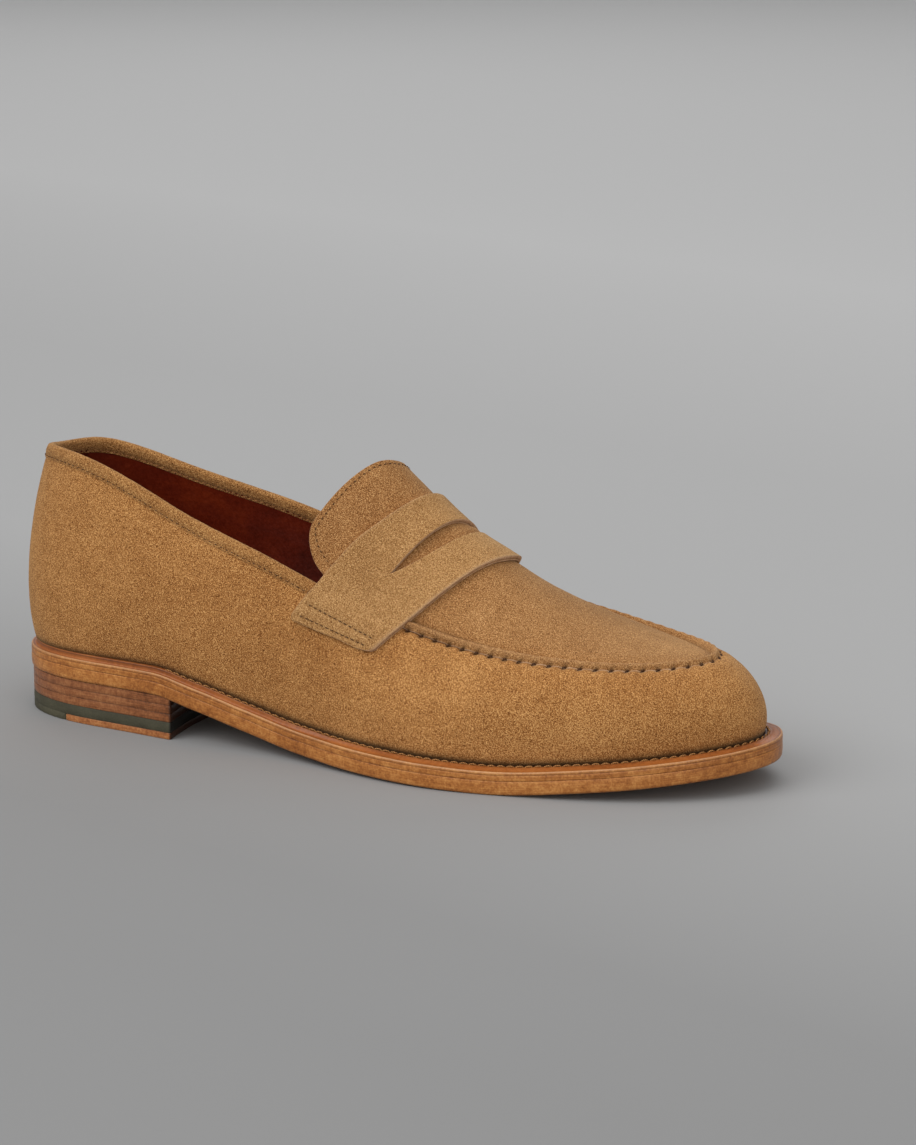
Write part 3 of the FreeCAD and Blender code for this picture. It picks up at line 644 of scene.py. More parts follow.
def waxed_thread(name, *shades):
    """Waxed thread with its twist."""
    parts = shader(name)
    tree = parts[1]
    twist = texture(tree, "ShaderNodeTexWave", "Fac", Scale=620, Distortion=1.2)
    twist.node.bands_direction = "DIAGONAL"
    tone = mixed(tree, (twist, 0.6), (noises(tree, (1400, 2, 0.6))[0], 0.6))
    return finished(parts, tone, (0.25, 0.75), shades, tone, (0.4, 0.0002),
                    roughness=0.6, specular=0.3)


def brushed_brass(name, *shades):
    parts = shader(name)
    brushed, = noises(parts[1], (900, 3, 0.6))
    return finished(parts, brushed, (0.3, 0.7), shades, brushed, (0.2, 0.0001),
                    roughness=0.35, metallic=1.0)


SUEDE_SIDE = suede("suede_side", (100, 56, 22), (168, 112, 59), (220, 168, 106))
# Darker copy of the side's suede: painted shade that offsets the stronger light on the apron's top.
SUEDE_TOP_SHADED = suede("suede_apron", (98, 58, 26), (160, 110, 63), (212, 165, 110), grain=0.9)
# Lighter, yellower copy of the side's suede: painted light on the strap.
SUEDE_STRAP_LIT = suede("suede_strap", (108, 70, 34), (173, 126, 76), (218, 175, 120), grain=0.85)
SUEDE_BAND = suede("suede_binding", (94, 56, 24), (158, 107, 58), (206, 158, 100))
SUEDE_RAW = raw_edge("suede_cut_edge", (146, 108, 76), (198, 160, 124), (228, 196, 162))
# Cognac lining darkened far below its own colour: painted shade of the shoe's inside.
LINING_LEATHER_SHADED = smooth_leather("lining_calf", (56, 9, 1), (88, 21, 2), (116, 38, 6),
                                roughness=0.42)
SOCK_LEATHER = smooth_leather("sock_calf", (92, 40, 18), (136, 66, 32), (164, 90, 48),
                              roughness=0.40)
SOLE_EDGE = burnished_edge("sole_edge", (112, 56, 18), (174, 109, 51), (215, 153, 85),
                           ridges=0.14, streaks=0.45)
STACK_EDGE = burnished_edge("heel_stack_edge", (88, 48, 22), (144, 87, 50), (182, 124, 78),
                            ridges=0.2, streaks=0.6)
TIP_EDGE = burnished_edge("heel_tip_edge", (112, 60, 28), (168, 104, 58), (204, 144, 90),
                          ridges=0.3, streaks=0.5)
WELT_TOP = smooth_leather("welt_top", (108, 52, 16), (166, 94, 39), (196, 123, 60),
                          roughness=0.42, coat=0.08, crease=0.2)
SOLE_UNDER = smooth_leather("sole_underside", (132, 82, 42), (174, 120, 72), (200, 150, 100),
                            roughness=0.5, pore_scale=1200, crease=0.2)
RUBBER = rubber_compound("heel_rubber_compound", (56, 53, 40), (74, 71, 54), (94, 90, 70))
WELT_THREAD = waxed_thread("welt_linen", (112, 68, 30), (192, 138, 80))
UPPER_THREAD = waxed_thread("upper_thread", (52, 30, 14), (112, 76, 42))
# Thread coloured dark brown as painted shade of the slits it sinks into.
SEAM_THREAD_SHADED = waxed_thread("apron_thread", (52, 30, 14), (96, 62, 34))
LINING_THREAD = waxed_thread("lining_thread", (96, 52, 28), (160, 104, 66))
BRASS = brushed_brass("pin_brass", (150, 112, 50), (198, 158, 84))
HIDDEN_BOARD = smooth_leather("inner_board", (120, 92, 62), (160, 130, 94), (190, 162, 122),
                              roughness=0.7)

# ---------------------------------------------------------------- seam lines
SEAM_SPAN = (float(place_at(STRAP_FOOT - 6, True)), float(place_at(STRAP_FOOT - 6, False)))
SEAM_PLACES = np.linspace(*SEAM_SPAN, 900)
SEAM_PATH = top_line(SEAM_PLACES)
SEAM_RUN = arc_lengths(SEAM_PATH)
SEAM_HOLES_AT = np.arange(APRON_PITCH / 2, SEAM_RUN[-1], APRON_PITCH)
SEAM_HOLES = along(SEAM_PATH, SEAM_HOLES_AT)
SEAM_HOLE_RUNS = unit(along(SEAM_PATH, SEAM_HOLES_AT + 0.4) - along(SEAM_PATH, SEAM_HOLES_AT - 0.4))
SLIT_SLANT = math.radians(32)


def slits(points, normal, length, width):
    """1 in the slanted slits where the apron's stitches pass through, 0 away from them."""
    _, index = nearest(points, SEAM_HOLES)
    away = points - SEAM_HOLES[index]
    run = SEAM_HOLE_RUNS[index]
    across = unit(np.cross(normal, run))
    a = (away * run).sum(-1)
    b = (away * across).sum(-1)
    c = a * math.cos(SLIT_SLANT) + b * math.sin(SLIT_SLANT)
    d = b * math.cos(SLIT_SLANT) - a * math.sin(SLIT_SLANT)
    return np.exp(-(c / length) ** 2 - (d / width) ** 2)


def pull(run):
    """0 to 1 along the apron seam: 1 at a stitch hole, 0 midway between two."""
    return 0.5 + 0.5 * np.cos(2 * np.pi * (run / APRON_PITCH - 0.5))


# ---------------------------------------------------------------- the side of the upper
side_profile = shape_preserving([(0, -0.35), (0.35, -0.15), (0.9, 0.1), (2.0, 0.28), (3.6, 0.28),
                                 (7.0, 0.08), (11.0, 0.0)])


def front_share(u):
    """1 where the top edge is the apron's seam, 0 where it is the topline, smooth between."""
    x = LAST[3](u)
    return np.clip((x - (STRAP_FOOT - 10)) / 8, 0, 1)


def welt_rise(x):
    """How much higher the welt's top is beside the upper than at its rim."""
    return 0.9 + 0.9 * np.clip((190 - x) / 90, 0, 1)


def make_side():
    us = spread((0, 0.27, 230), (0.27, 0.72, 520), (0.72, 1.0, 240))[:-1]
    vs = spread((0, 0.1, 10), (0.1, 0.8, 38), (0.8, 0.95, 15), (0.95, 1.0, 13))
    u, v = np.meshgrid(us, vs, indexing="ij")
    base = wall(u, v)
    normal = wall_normal(u, v)
    seam_gap, index = nearest(base, SEAM_PATH)
    front = front_share(u)
    tug = pull(SEAM_RUN[index])
    lift = suede_relief(base)
    fade = bump_at(seam_gap, 5.0)
    lift = lift * (1 - 0.5 * fade * front)
    lift += front * side_profile(np.minimum(seam_gap, 12))
    lift -= front * (0.36 * tug * bump_at(seam_gap - 0.8, 1.5))
    slit = slits(base, normal, 1.2, 0.6)
    lift -= 0.75 * slit * front
    back = np.minimum(u, 1 - u) * EDGE_LENGTH * 0.8
    lift -= 0.55 * bump_at(back, 0.55) * np.clip((0.96 - v) * 20, 0, 1)
    lift += 0.12 * bump_at(back - 1.6, 1.0)
    lift -= 0.25 * bump_at(v * 60, 1.5)
    outer = base + normal * lift[..., None]
    # Painted shade in the apron seam's stitch slits and along the seam line.
    slit_shade = 0.95 * slits(base, normal, 1.25, 0.55) + 0.12 * bump_at(seam_gap, 0.4)
    dark = np.clip(front * slit_shade, 0, 1)
    # Painted shade in the groove of the back seam.
    dark = np.maximum(dark, 0.75 * bump_at(back, 0.35) * (v < 0.97))
    x = base[..., 0]
    # Painted shade in the crease where the upper meets the welt, fading upward.
    over_welt = base[..., 2] - bottom_height(x) - OUTSOLE - WELT - welt_rise(x)
    dark = np.maximum(dark, 0.9 * np.exp(-(np.clip(over_welt, 0, None) / 1.7) ** 1.7))
    rows = [outer[:, j] for j in range(len(vs))]
    shades = [dark[:, j] for j in range(len(vs))]
    # Painted shade on the top edge's turn into the shoe.
    for depth, sink in ((0.25, 0.05), (0.9, 0.1), (1.25, 0.0)):
        rows.append(wall_depth(us, np.ones_like(us), depth + 1.0 * front_share(us)) - [0, 0, sink])
        shades.append(np.ones(len(us)) * 0.4)
    for height in (0.9, 0.7, 0.45, 0.2, 0.0):
        rows.append(wall_depth(us, np.full_like(us, height), np.full_like(us, SUEDE)))
        shades.append(np.zeros(len(us)))
    # Painted shade on the row tucked under the upper's foot.
    foot = wall_depth(us, np.zeros_like(us), np.full_like(us, 0.75))
    rows.append(foot - np.array([0, 0, 0.5]))
    shades.append(np.ones(len(us)))
    points = np.stack(rows, 1)
    faces = grid_quads(len(us), len(rows), wrap_rows=True, wrap_columns=True)
    new_mesh("upper_side", points, faces, [SUEDE_SIDE], ["side_wall"],
             {"dark": np.stack(shades, 1), "pale": np.zeros(points.shape[:2])})


make_side()


def make_lining():
    us = np.linspace(0, 1, 520, endpoint=False)
    vs = spread((0, 0.7, 26), (0.7, 0.985, 18))
    u, v = np.meshgrid(us, vs, indexing="ij")
    depth = np.full_like(u, SUEDE + STIFFENER + 2 * GLUE + LINING)
    inner = wall_depth(u, v, depth)
    normal = wall_normal(u, v)
    wrinkle = 0.10 * lattice_noise(inner, 16.0, 11) + 0.03 * lattice_noise(inner, 3.0, 12)
    back = np.minimum(u, 1 - u) * EDGE_LENGTH * 0.8
    strip = 0.25 * np.clip((13 - back) / 1.2, 0, 1)
    inner = inner - normal * (np.clip(wrinkle, -0.12, 0.12) + strip)[..., None]
    seam = bump_at(back - 11.6, 0.35)
    rows = [inner[:, j] for j in range(len(vs))]
    shades = [0.8 * seam[:, j] for j in range(len(vs))]
    for height in (0.985, 0.7, 0.35, 0.0):
        high = np.full_like(us, height)
        rows.append(wall_depth(us, high, np.full_like(us, SUEDE + STIFFENER + 2 * GLUE)))
        shades.append(np.zeros(len(us)))
    points = np.stack(rows, 1)
    faces = grid_quads(len(us), len(rows), wrap_rows=True, wrap_columns=True)[:, ::-1]
    new_mesh("upper_lining", points, faces, [LINING_LEATHER_SHADED], ["side_lining"],
             {"dark": np.stack(shades, 1)})


make_lining()


# ---------------------------------------------------------------- apron and tongue
ridge_profile = shape_preserving([(0, -0.35), (0.35, 0.1), (0.8, 1.0), (1.4, 1.65), (2.0, 1.7),
                                  (2.6, 1.2), (3.2, 0.1), (3.7, -0.75), (4.3, -0.95), (5.6, -0.5),
                                  (7.5, -0.15), (10.0, 0.0)])


def front_reach(t, tuck):
    """x of the apron's front edge, which bows forward from its two ends."""
    outer, inner = rails(APRON_FRONT)
    y = outer[1] + tuck + (inner[1] - outer[1] - 2 * tuck) * t
    low = np.full_like(y, APRON_FRONT)
    high = np.full_like(y, top_line(TOE)[0])
    for _ in range(40):
        middle = (low + high) / 2
        a, b = rails(middle)
        inside = (a[..., 1] + tuck <= y) & (y <= b[..., 1] - tuck)
        low = np.where(inside, middle, low)
        high = np.where(inside, high, middle)
    return low


def tongue_fall(across):
    """0 on the ridge to 1 at the seam: how the tongue's end falls back to its corners."""
    soft = TONGUE_ROUND ** 2
    low = soft ** 0.825
    return ((across ** 2 + soft) ** 0.825 - low) / ((1 + soft) ** 0.825 - low)


def apron_point(s, t, tuck, reach):
    """Plan point of the apron: s runs from the tongue's end to the toe, t across."""
    x_side = TONGUE_CORNER + (APRON_FRONT - TONGUE_CORNER) * s
    outer, inner = rails(x_side)
    narrow = tuck + TONGUE_NARROW * np.clip(1 - (x_side - TONGUE_CORNER) / 26, 0, None) ** 1.5
    low = outer[..., 1] + narrow
    high = inner[..., 1] - narrow
    y = low + (high - low) * t
    across = np.abs(2 * t - 1)
    rear_bow = TONGUE_BOW * (1 - tongue_fall(across))
    blend = np.clip((s - 0.3) / 0.7, 0, None) ** 2
    return x_side + rear_bow * (1 - s) ** 1.5 + (reach - APRON_FRONT) * blend, y


def corner_cut(s, t):
    """t moved in near the tongue's end, so that its corners are round."""
    end = np.clip(1 - s * (APRON_FRONT - TONGUE_CORNER) / TONGUE_RADIUS, 0, 1)
    inset = TONGUE_RADIUS * (1 - np.sqrt(np.clip(1 - end ** 2, 0, 1)))
    share = inset / 190.0
    return share + (1 - 2 * share) * t


def apron_grid(s_values, t_values, tuck, start=0.0):
    s, t = np.meshgrid(s_values, t_values, indexing="ij")
    cut = corner_cut(s - start, t)
    reach = front_reach(t_values, tuck)[None, :] + 0 * s
    return apron_point(s, cut, tuck, reach)


def make_apron():
    s_values = spread((0, 0.02, 9), (0.02, 0.92, 235), (0.92, 1.0, 36))
    t_values = spread((0, 0.09, 22), (0.09, 0.91, 96), (0.91, 1.0, 22))
    x, y = apron_grid(s_values, t_values, 0.2)
    base = xyz(x, y, crown(x, y))
    normal = crown_normal(x, y)
    seam_gap, index = nearest(base, SEAM_PATH)
    tug = pull(SEAM_RUN[index])
    front = np.clip((x - (STRAP_FOOT - 2)) / 8, 0, 1)
    slit = slits(base, normal, 1.2, 0.6)
    lift = suede_relief(base)
    lift = lift * (1 - 0.5 * bump_at(seam_gap, 5.0) * front)
    ridge = ridge_profile(np.minimum(seam_gap, 10.0))
    lift += front * ridge * (1 - 0.1 * tug * (ridge > 0))
    lift -= front * 0.28 * tug * bump_at(seam_gap - 0.8, 0.8)
    lift -= 0.7 * slit * front
    slot_gap, at = nearest(base, SLOT_LINE)
    lift += 0.9 * bump_at(slot_gap, 2.6) * np.sin(np.pi * (at + 0.5) / len(SLOT_LINE)) ** 0.7
    raised = unit(normal + np.array([0, 0, 0.8]) * (front * np.clip(ridge, 0, 1))[..., None])
    outer = base + raised * lift[..., None]
    thickness = np.where(front > 0.5, 1.25, SUEDE)
    inner = outer - normal * thickness[..., None]
    # Painted shade in the stitch slits, along the seam and in the crease inside the ridge.
    dark = front * np.clip(0.95 * slit + 0.12 * bump_at(seam_gap, 0.4)
                           + 0.4 * bump_at(seam_gap - 3.9, 0.6), 0, 1)
    # Painted shade in the tongue's stitch holes.
    for hole in TONGUE_HOLES:
        gap = np.linalg.norm(base - hole, axis=-1)
        dark = np.maximum(dark, 0.3 * bump_at(gap, 0.4))
        outer = outer - normal * (0.2 * bump_at(gap, 0.5))[..., None]
    # Painted highlight along the ridge's crest.
    pale = 0.12 * front * bump_at(seam_gap - 1.7, 0.7)
    sheet_piece("apron_and_tongue", outer, inner, grid_quads(*x.shape),
                [SUEDE_TOP_SHADED, SUEDE_RAW, SUEDE_TOP_SHADED], "apron", {"dark": dark, "pale": pale},
                0.15)


def tongue_seam():
    """Line of the stitching set in from the tongue's free edge, with its normals."""
    inset_s = 1.8 / (APRON_FRONT - TONGUE_CORNER)
    s_values = np.concatenate([np.linspace(0.16, inset_s, 60), np.full(160, inset_s),
                               np.linspace(inset_s, 0.16, 60)])
    t_values = np.concatenate([np.full(60, 0.022), np.linspace(0.022, 0.978, 160),
                               np.full(60, 0.978)])
    cut = corner_cut(s_values, t_values)
    x, y = apron_point(s_values, cut, 0.2, front_reach(t_values, 0.2))
    return xyz(x, y, crown(x, y)), crown_normal(x, y)


TONGUE_PATH, TONGUE_NORMALS = tongue_seam()
TONGUE_STITCHES_AT = np.arange(1.0, arc_lengths(TONGUE_PATH)[-1], FINE_PITCH)
TONGUE_HOLES = along(TONGUE_PATH, TONGUE_STITCHES_AT)


def make_tongue_lining():
    s_values = spread((0.006, 0.05, 8), (0.05, 0.985, 90))
    t_values = np.linspace(0.008, 0.992, 70)
    x, y = apron_grid(s_values, t_values, 0.9, start=0.006)
    base = xyz(x, y, crown(x, y))
    normal = crown_normal(x, y)
    wrinkle = 0.05 * lattice_noise(base, 12.0, 21)
    front = np.clip((x - (STRAP_FOOT - 2)) / 8, 0, 1)
    outer = base - normal * (SUEDE + GLUE + 0.25 + 0.9 * front)[..., None]
    inner = outer - normal * (LINING + wrinkle)[..., None]
    sheet_piece("tongue_lining", outer, inner, grid_quads(*x.shape), [LINING_LEATHER_SHADED],
                "apron_lining", {"dark": 0.0})


make_tongue_lining()

# ---------------------------------------------------------------- strap
SECTION_X = np.arange(118, 212)
SECTION_REACH = np.arange(-96, 96.01, 0.5)


def section_row(x):
    """Points of the outer surface's cross-section at x, by distance from the ridge."""
    outer, inner = rails(x)
    v = np.linspace(0, 1, 40)
    ys = np.linspace(outer[1], inner[1], 121)[1:-1]
    points = np.concatenate([
        wall(np.full(40, place_at(x, True)), v),
        xyz(np.full_like(ys, x), ys, crown(np.full_like(ys, x), ys)),
        wall(np.full(40, place_at(x, False)), v[::-1])])
    lengths = arc_lengths(points)
    middle = lengths[len(points) // 2]
    return along(points, SECTION_REACH + middle)


SECTIONS = np.stack([section_row(float(x)) for x in SECTION_X])


def over_instep(x, reach):
    """Point of the outer surface at a distance from the ridge, in the section at x."""
    i = np.clip(np.floor(x - SECTION_X[0]).astype(int), 0, len(SECTION_X) - 2)
    j = np.clip(np.floor((reach - SECTION_REACH[0]) / 0.5).astype(int), 0, len(SECTION_REACH) - 2)
    a = (x - SECTION_X[i])[..., None]
    b = ((reach - SECTION_REACH[j]) / 0.5)[..., None]
    near = SECTIONS[i, j] * (1 - b) + SECTIONS[i, j + 1] * b
    far = SECTIONS[i + 1, j] * (1 - b) + SECTIONS[i + 1, j + 1] * b
    return near * (1 - a) + far * a


def instep_normal(x, reach):
    ahead = over_instep(x + 1.5, reach) - over_instep(x - 1.5, reach)
    round_foot = over_instep(x, reach + 2.0) - over_instep(x, reach - 2.0)
    return unit(np.cross(ahead, round_foot))


strap_half = shape_preserving(STRAP_END)


def strap_sweep(reach):
    return np.hypot(STRAP_EASE, STRAP_RAKE * reach) - STRAP_EASE


def strap_base(p, q, height):
    """Point at a height over the instep: p from the strap's rear to its front edge, q across."""
    reach = strap_half(p) * (2 * q - 1)
    x = STRAP_REAR + (STRAP_FRONT - STRAP_REAR) * p - strap_sweep(reach)
    lift = STRAP_LIFT * p ** 2 * (1 - (2 * q - 1) ** 2)
    normal = instep_normal(x, reach)
    return over_instep(x, reach) + normal * (lift + height)[..., None], normal


def slot_edges(q):
    """p of the slot's rear and front lips at q, equal beyond its tips."""
    spot = strap_half(0.5) * (2 * q - 1) - SLOT_CENTRE
    middle = (SLOT_MIDDLE - STRAP_REAR) / (STRAP_FRONT - STRAP_REAR) + 0 * q
    share = np.clip(np.abs(spot) / SLOT_HALF_LENGTH, 0, 1)
    half = SLOT_HALF_WIDTH * (1 - share ** 2) / (STRAP_FRONT - STRAP_REAR)
    return middle - half, middle + half


def slot_middle_line():
    """Line on the instep along the slot, where it crosses the ridge."""
    q = (np.linspace(-16, 21, 60) / strap_half(0.5) + 1) / 2
    rear, front = slot_edges(q)
    return strap_base((rear + front) / 2, q, 0 * q)[0]


SLOT_LINE = slot_middle_line()
make_apron()


def strap_grid(rear_count, front_count, q_values, margin):
    """p and q of the strap's points, numbered so that the slot's two lips are apart, and quads."""
    rear, front = slot_edges(q_values)
    back = spread((0, 0.2, 6), (0.2, 0.8, rear_count), (0.8, 1, 6))
    lead = spread((0, 0.2, 6), (0.2, 0.8, front_count), (0.8, 1, 6))
    near_end = np.clip(1 - np.minimum(q_values, 1 - q_values) / 0.02, 0, 1)
    cut = 1 - np.sqrt(1 - near_end ** 2)
    low = margin + 0.06 * cut
    high = 1 - margin - 0.09 * cut
    p = np.concatenate([low[:, None] + (rear - low)[:, None] * back[None, :],
                        front[:, None] + (high - front)[:, None] * lead[None, :]], 1)
    q = q_values[:, None] + 0 * p
    number = np.arange(p.size).reshape(p.shape)
    lip = len(back) - 1
    shut = front - rear < 1e-4
    number[shut, lip + 1] = number[shut, lip]
    quads = grid_quads(*p.shape)[:, [0, 3, 2, 1]]
    quads = quads[quads[:, 0] % p.shape[1] != lip]
    return p, q, number.ravel()[quads]


STRAP_ROWS = (0.018, 0.05, 0.95, 0.982)
STRAP_TOP = STRAP_BACKING + 2 * GLUE + 0.1 + STRAP


def strap_rows():
    """Stitch rows that run straight across the strap near each end, with their normals."""
    rows = []
    for row in STRAP_ROWS:
        p, q = np.meshgrid(np.linspace(0, 1, 240), np.linspace(-0.03, 0.03, 120) + row,
                           indexing="ij")
        face, normal = strap_base(p, np.clip(q, 0, 1), np.full_like(p, STRAP_TOP))
        ends = strap_base(np.array([0.08, 0.92]), np.full(2, row), np.full(2, STRAP_TOP))[0]
        share = np.linspace(0, 1, 90)[:, None]
        _, index = nearest(ends[0] * (1 - share) + ends[1] * share, face.reshape(-1, 3))
        points = face.reshape(-1, 3)[index]
        for _ in range(12):
            points[1:-1] = (points[:-2] + 2 * points[1:-1] + points[2:]) / 4
        rows.append((points, normal.reshape(-1, 3)[index]))
    return rows


STRAP_SEAMS = strap_rows()
STRAP_HOLES = np.concatenate([along(points, np.arange(0.4, arc_lengths(points)[-1], FINE_PITCH))
                              for points, _ in STRAP_SEAMS])


def strap_rise(p, q):
    """How the strap lies: its sewn ends pressed down, the slot's rear lip standing up."""
    end = np.minimum(q, 1 - q)
    press = -0.55 * np.exp(-(end / 0.05) ** 2)
    rear, front = slot_edges(q)
    spot = strap_half(0.5) * (2 * q - 1)
    open_share = np.clip((front - rear) / 0.1, 0, 1)
    rear_lip = np.exp(-((p - rear) / 0.16) ** 2) * (p <= rear + 1e-6)
    front_lip = np.exp(-((p - front) / 0.12) ** 2) * (p >= front - 1e-6)
    lip = open_share * (0.2 + 0.8 * bump_at(spot + 24, 12)) * (rear_lip - 0.3 * front_lip)
    crest = np.exp(-((p - (rear + front) / 2) / 0.3) ** 2) * bump_at(spot - 9, 13)
    return press + lip - 1.05 * crest


def make_strap():
    q_values = spread((0, 0.12, 34), (0.12, 0.88, 150), (0.88, 1.0, 34))
    p, q, quads = strap_grid(17, 19, q_values, 0.0)
    height = STRAP_TOP + strap_rise(p, q)
    base, normal = strap_base(p, q, height)
    lift = suede_relief(base) * 0.8
    gap, _ = nearest(base, STRAP_HOLES)
    seam_gap, _ = nearest(base, np.concatenate([points for points, _ in STRAP_SEAMS]))
    lift -= 0.2 * bump_at(seam_gap, 0.6) + 0.25 * bump_at(gap, 0.45)
    outer = base + normal * lift[..., None]
    inner = base - normal * STRAP
    # Painted shade in the stitch holes and along the stitch rows.
    dark = np.clip(0.3 * bump_at(gap, 0.4) + 0.12 * bump_at(seam_gap, 0.4), 0, 1)
    # Paler cut edge along the strap's front and rear edges.
    pale = 0.55 * bump_at(np.minimum(1 - p, 1) * 30, 0.6) + 0.2 * bump_at(p * 30, 0.5)
    sheet_piece("saddle_strap", outer, inner, quads, [SUEDE_STRAP_LIT, SUEDE_RAW, SUEDE_STRAP_LIT],
                "penny_strap", {"dark": dark, "pale": pale})


def make_strap_backing():
    p, q, quads = strap_grid(12, 12, np.linspace(0.001, 0.999, 150), -0.004)
    height = GLUE + 0.1 + STRAP_BACKING - 0.12 + 0.9 * strap_rise(p, q)
    outer, normal = strap_base(p, q, height)
    inner = outer - normal * (STRAP_BACKING - 0.1)
    sheet_piece("strap_backing_layer", outer, inner, quads, [SUEDE_BAND, SUEDE_RAW, SUEDE_BAND],
                "strap_backing", {"dark": 0.0, "pale": 0.0}, 0.1)


make_strap()
make_strap_backing()


# ---------------------------------------------------------------- topline binding
def edge_frame(u):
    """Middle of the wall's top edge, with its outward and its upward direction."""
    normal = wall_normal(u, np.ones_like(u))
    up = unit(wall(u, np.ones_like(u)) - wall(u, np.full_like(u, 0.98)))
    return wall_depth(u, np.ones_like(u), np.full_like(u, WALL_THICKNESS / 2)), normal, up


TOPLINE = np.linspace(float(place_at(TOPLINE_END + 12, False)) - 1,
                      float(place_at(TOPLINE_END + 12, True)), 900)
BAND_OUT = [(1.20, -4.2), (1.34, -4.15), (1.44, -4.0), (1.46, -3.7), (1.36, -3.35), (1.40, -3.0),
            (1.58, -2.5), (1.72, -1.9), (1.76, -1.3), (1.72, -0.7), (1.64, -0.2)]


def band_section():
    """Outer section of the binding, down one side, over the edge and down the other."""
    rounds = [(1.62 * math.cos(a), 1.45 * math.sin(a))
              for a in np.linspace(0.12, math.pi - 0.12, 11)]
    return BAND_OUT + rounds + [(-x, z) for x, z in reversed(BAND_OUT)]


def topline_path(across, rise):
    middle, side, up = edge_frame(TOPLINE)
    return middle + side * across + up * rise, side, up


def band_holes(across):
    points, _, _ = topline_path(across, -3.35)
    return along(points, np.arange(0.5, arc_lengths(points)[-1], TOPLINE_PITCH))


def make_binding():
    middle, side, up = edge_frame(TOPLINE)
    section = band_section()
    inner = [(1.15, z) for z in (-4.2, -2.5, -1.0, -0.2)]
    inner += [(1.15 * math.cos(a), 1.05 * math.sin(a)) for a in np.linspace(0.4, math.pi - 0.4, 5)]
    inner += [(-1.15, z) for z in (-0.2, -1.0, -2.5, -4.2)]
    loop = section + inner[::-1]
    grid = np.stack([middle + side * a + up * z for a, z in loop], 1)
    outward = unit(np.stack([side * a + up * max(z, 0) * 1.2 for a, z in loop], 1))
    relief = suede_relief(grid) * 0.9
    relief[:, len(section):] = 0
    dark = np.zeros(grid.shape[:2])
    # Painted shade in the stitch holes.
    for across in (1.36, -1.36):
        gap, _ = nearest(grid, band_holes(across))
        relief -= 0.25 * bump_at(gap, 0.5)
        dark = np.maximum(dark, 0.35 * bump_at(gap, 0.45))
    # A line of painted shade along each stitch row.
    for row, (a, z) in enumerate(loop[:len(section)]):
        if abs(z + 3.35) < 0.2:
            dark[:, row] = np.maximum(dark[:, row], 0.2)
    grid = grid + outward * relief[..., None]
    rows, count = dark.shape
    faces = grid_quads(rows, count, wrap_columns=True).tolist()
    first = np.arange(count)
    faces += [first.tolist(), (first[::-1] + (rows - 1) * count).tolist()]
    new_mesh("topline_roll", grid, faces, [SUEDE_BAND], ["topline_binding"],
             {"dark": dark, "pale": np.zeros_like(dark)})


make_binding()


# ---------------------------------------------------------------- sole, welt and heel
back_places, front_places = np.linspace(-0.03, 0.03, 2001), np.linspace(0.4, 0.6, 8001)
BACK = float(back_places[LAST[0](back_places).argmin()])
FRONT = float(front_places[LAST[0](front_places).argmax()])


def matched_places(count):
    """Places on the outer side from the heel's back forward, and those at the same x inside."""
    inner_places = np.linspace(BACK + 1, FRONT, 4000)
    outer = np.linspace(BACK, FRONT, count)
    inner = np.interp(LAST[0](outer), LAST[0](inner_places), inner_places)
    inner[0], inner[-1] = BACK + 1, FRONT
    return outer, inner


def plan_grid(outer, inner, across, inset):
    """Plan points (x, y) in rows from one side to the other."""
    a, b = (np.stack(plan(u, inset)[:2], -1)[:, None] for u in (outer, inner))
    share = np.linspace(0, 1, across)[None, :, None]
    return a * (1 - share) + b * share


def slab(name, count, across, profile, under, materials, node, change):
    """Closed slab over the sole's plan. profile holds (inset, rise) from its bottom's flat to its
    top's, and its levels up to under have the second material. change works on its points and
    marks, given their insets and rises."""
    outer, inner = matched_places(count)
    number = np.arange(count * across).reshape(count, across)
    number[0], number[-1] = number[0, 0], number[-1, 0]
    quads = number.ravel()[grid_quads(count, across)[:, [0, 3, 2, 1]]]
    i = np.concatenate([np.arange(count), np.arange(count - 2, 0, -1)])
    j = np.repeat([0, across - 1], [count, count - 2])
    points, faces, levels, total = [], [quads], [np.zeros(len(quads))], 0
    for level, (inset, rise) in enumerate(profile):
        flat = level in (0, len(profile) - 1)
        places = plan_grid(outer, inner, across, inset)
        places = places.reshape(-1, 2) if flat else places[i, j]
        values = np.tile([inset, rise], (len(places), 1))
        points.append(np.column_stack([places, bottom_height(places[:, 0]) + rise, values]))
        ring = total + (number[i, j] if flat else np.arange(len(i)))
        total += len(places)
        if level:
            faces.append(np.stack([np.roll(before, -1), np.roll(ring, -1), ring, before], -1))
            levels.append(np.full(len(i), level))
        before = ring
    faces.append(quads[:, ::-1] + total - count * across)
    levels.append(np.full(len(quads), len(profile)))
    points = np.concatenate(points)
    points, insets, rises = points[:, :3].copy(), points[:, 3], points[:, 4]
    marks = edge_marks(points, rises)
    change(points, insets, rises, marks)
    new_mesh(name, points, np.concatenate(faces), materials, [node], marks,
             np.concatenate(levels) <= under)


def edge_marks(points, rise):
    """Distance along the sole's edge from the heel's back, and height in the layer, for streaks."""
    steps = 1200
    places = np.linspace(0, 1, steps)
    _, index = nearest(points * [1, 1, 0], xyz(LAST[0](places), LAST[1](places), 0))
    run = np.minimum(index, steps - index) / steps * EDGE_LENGTH
    return {"along": run, "rise": rise, "dark": np.zeros(len(points)),
            "pale": np.zeros(len(points))}


def roughen(points, amount):
    """Slight unevenness of a trimmed and waxed edge."""
    shift = lattice_noise(points, 14.0, 31) * amount + lattice_noise(points, 3.0, 32) * amount * 0.4
    middle = np.array([150.0, 0.0, 0.0])
    points += unit((points - middle) * [0.2, 1, 0]) * shift[:, None]


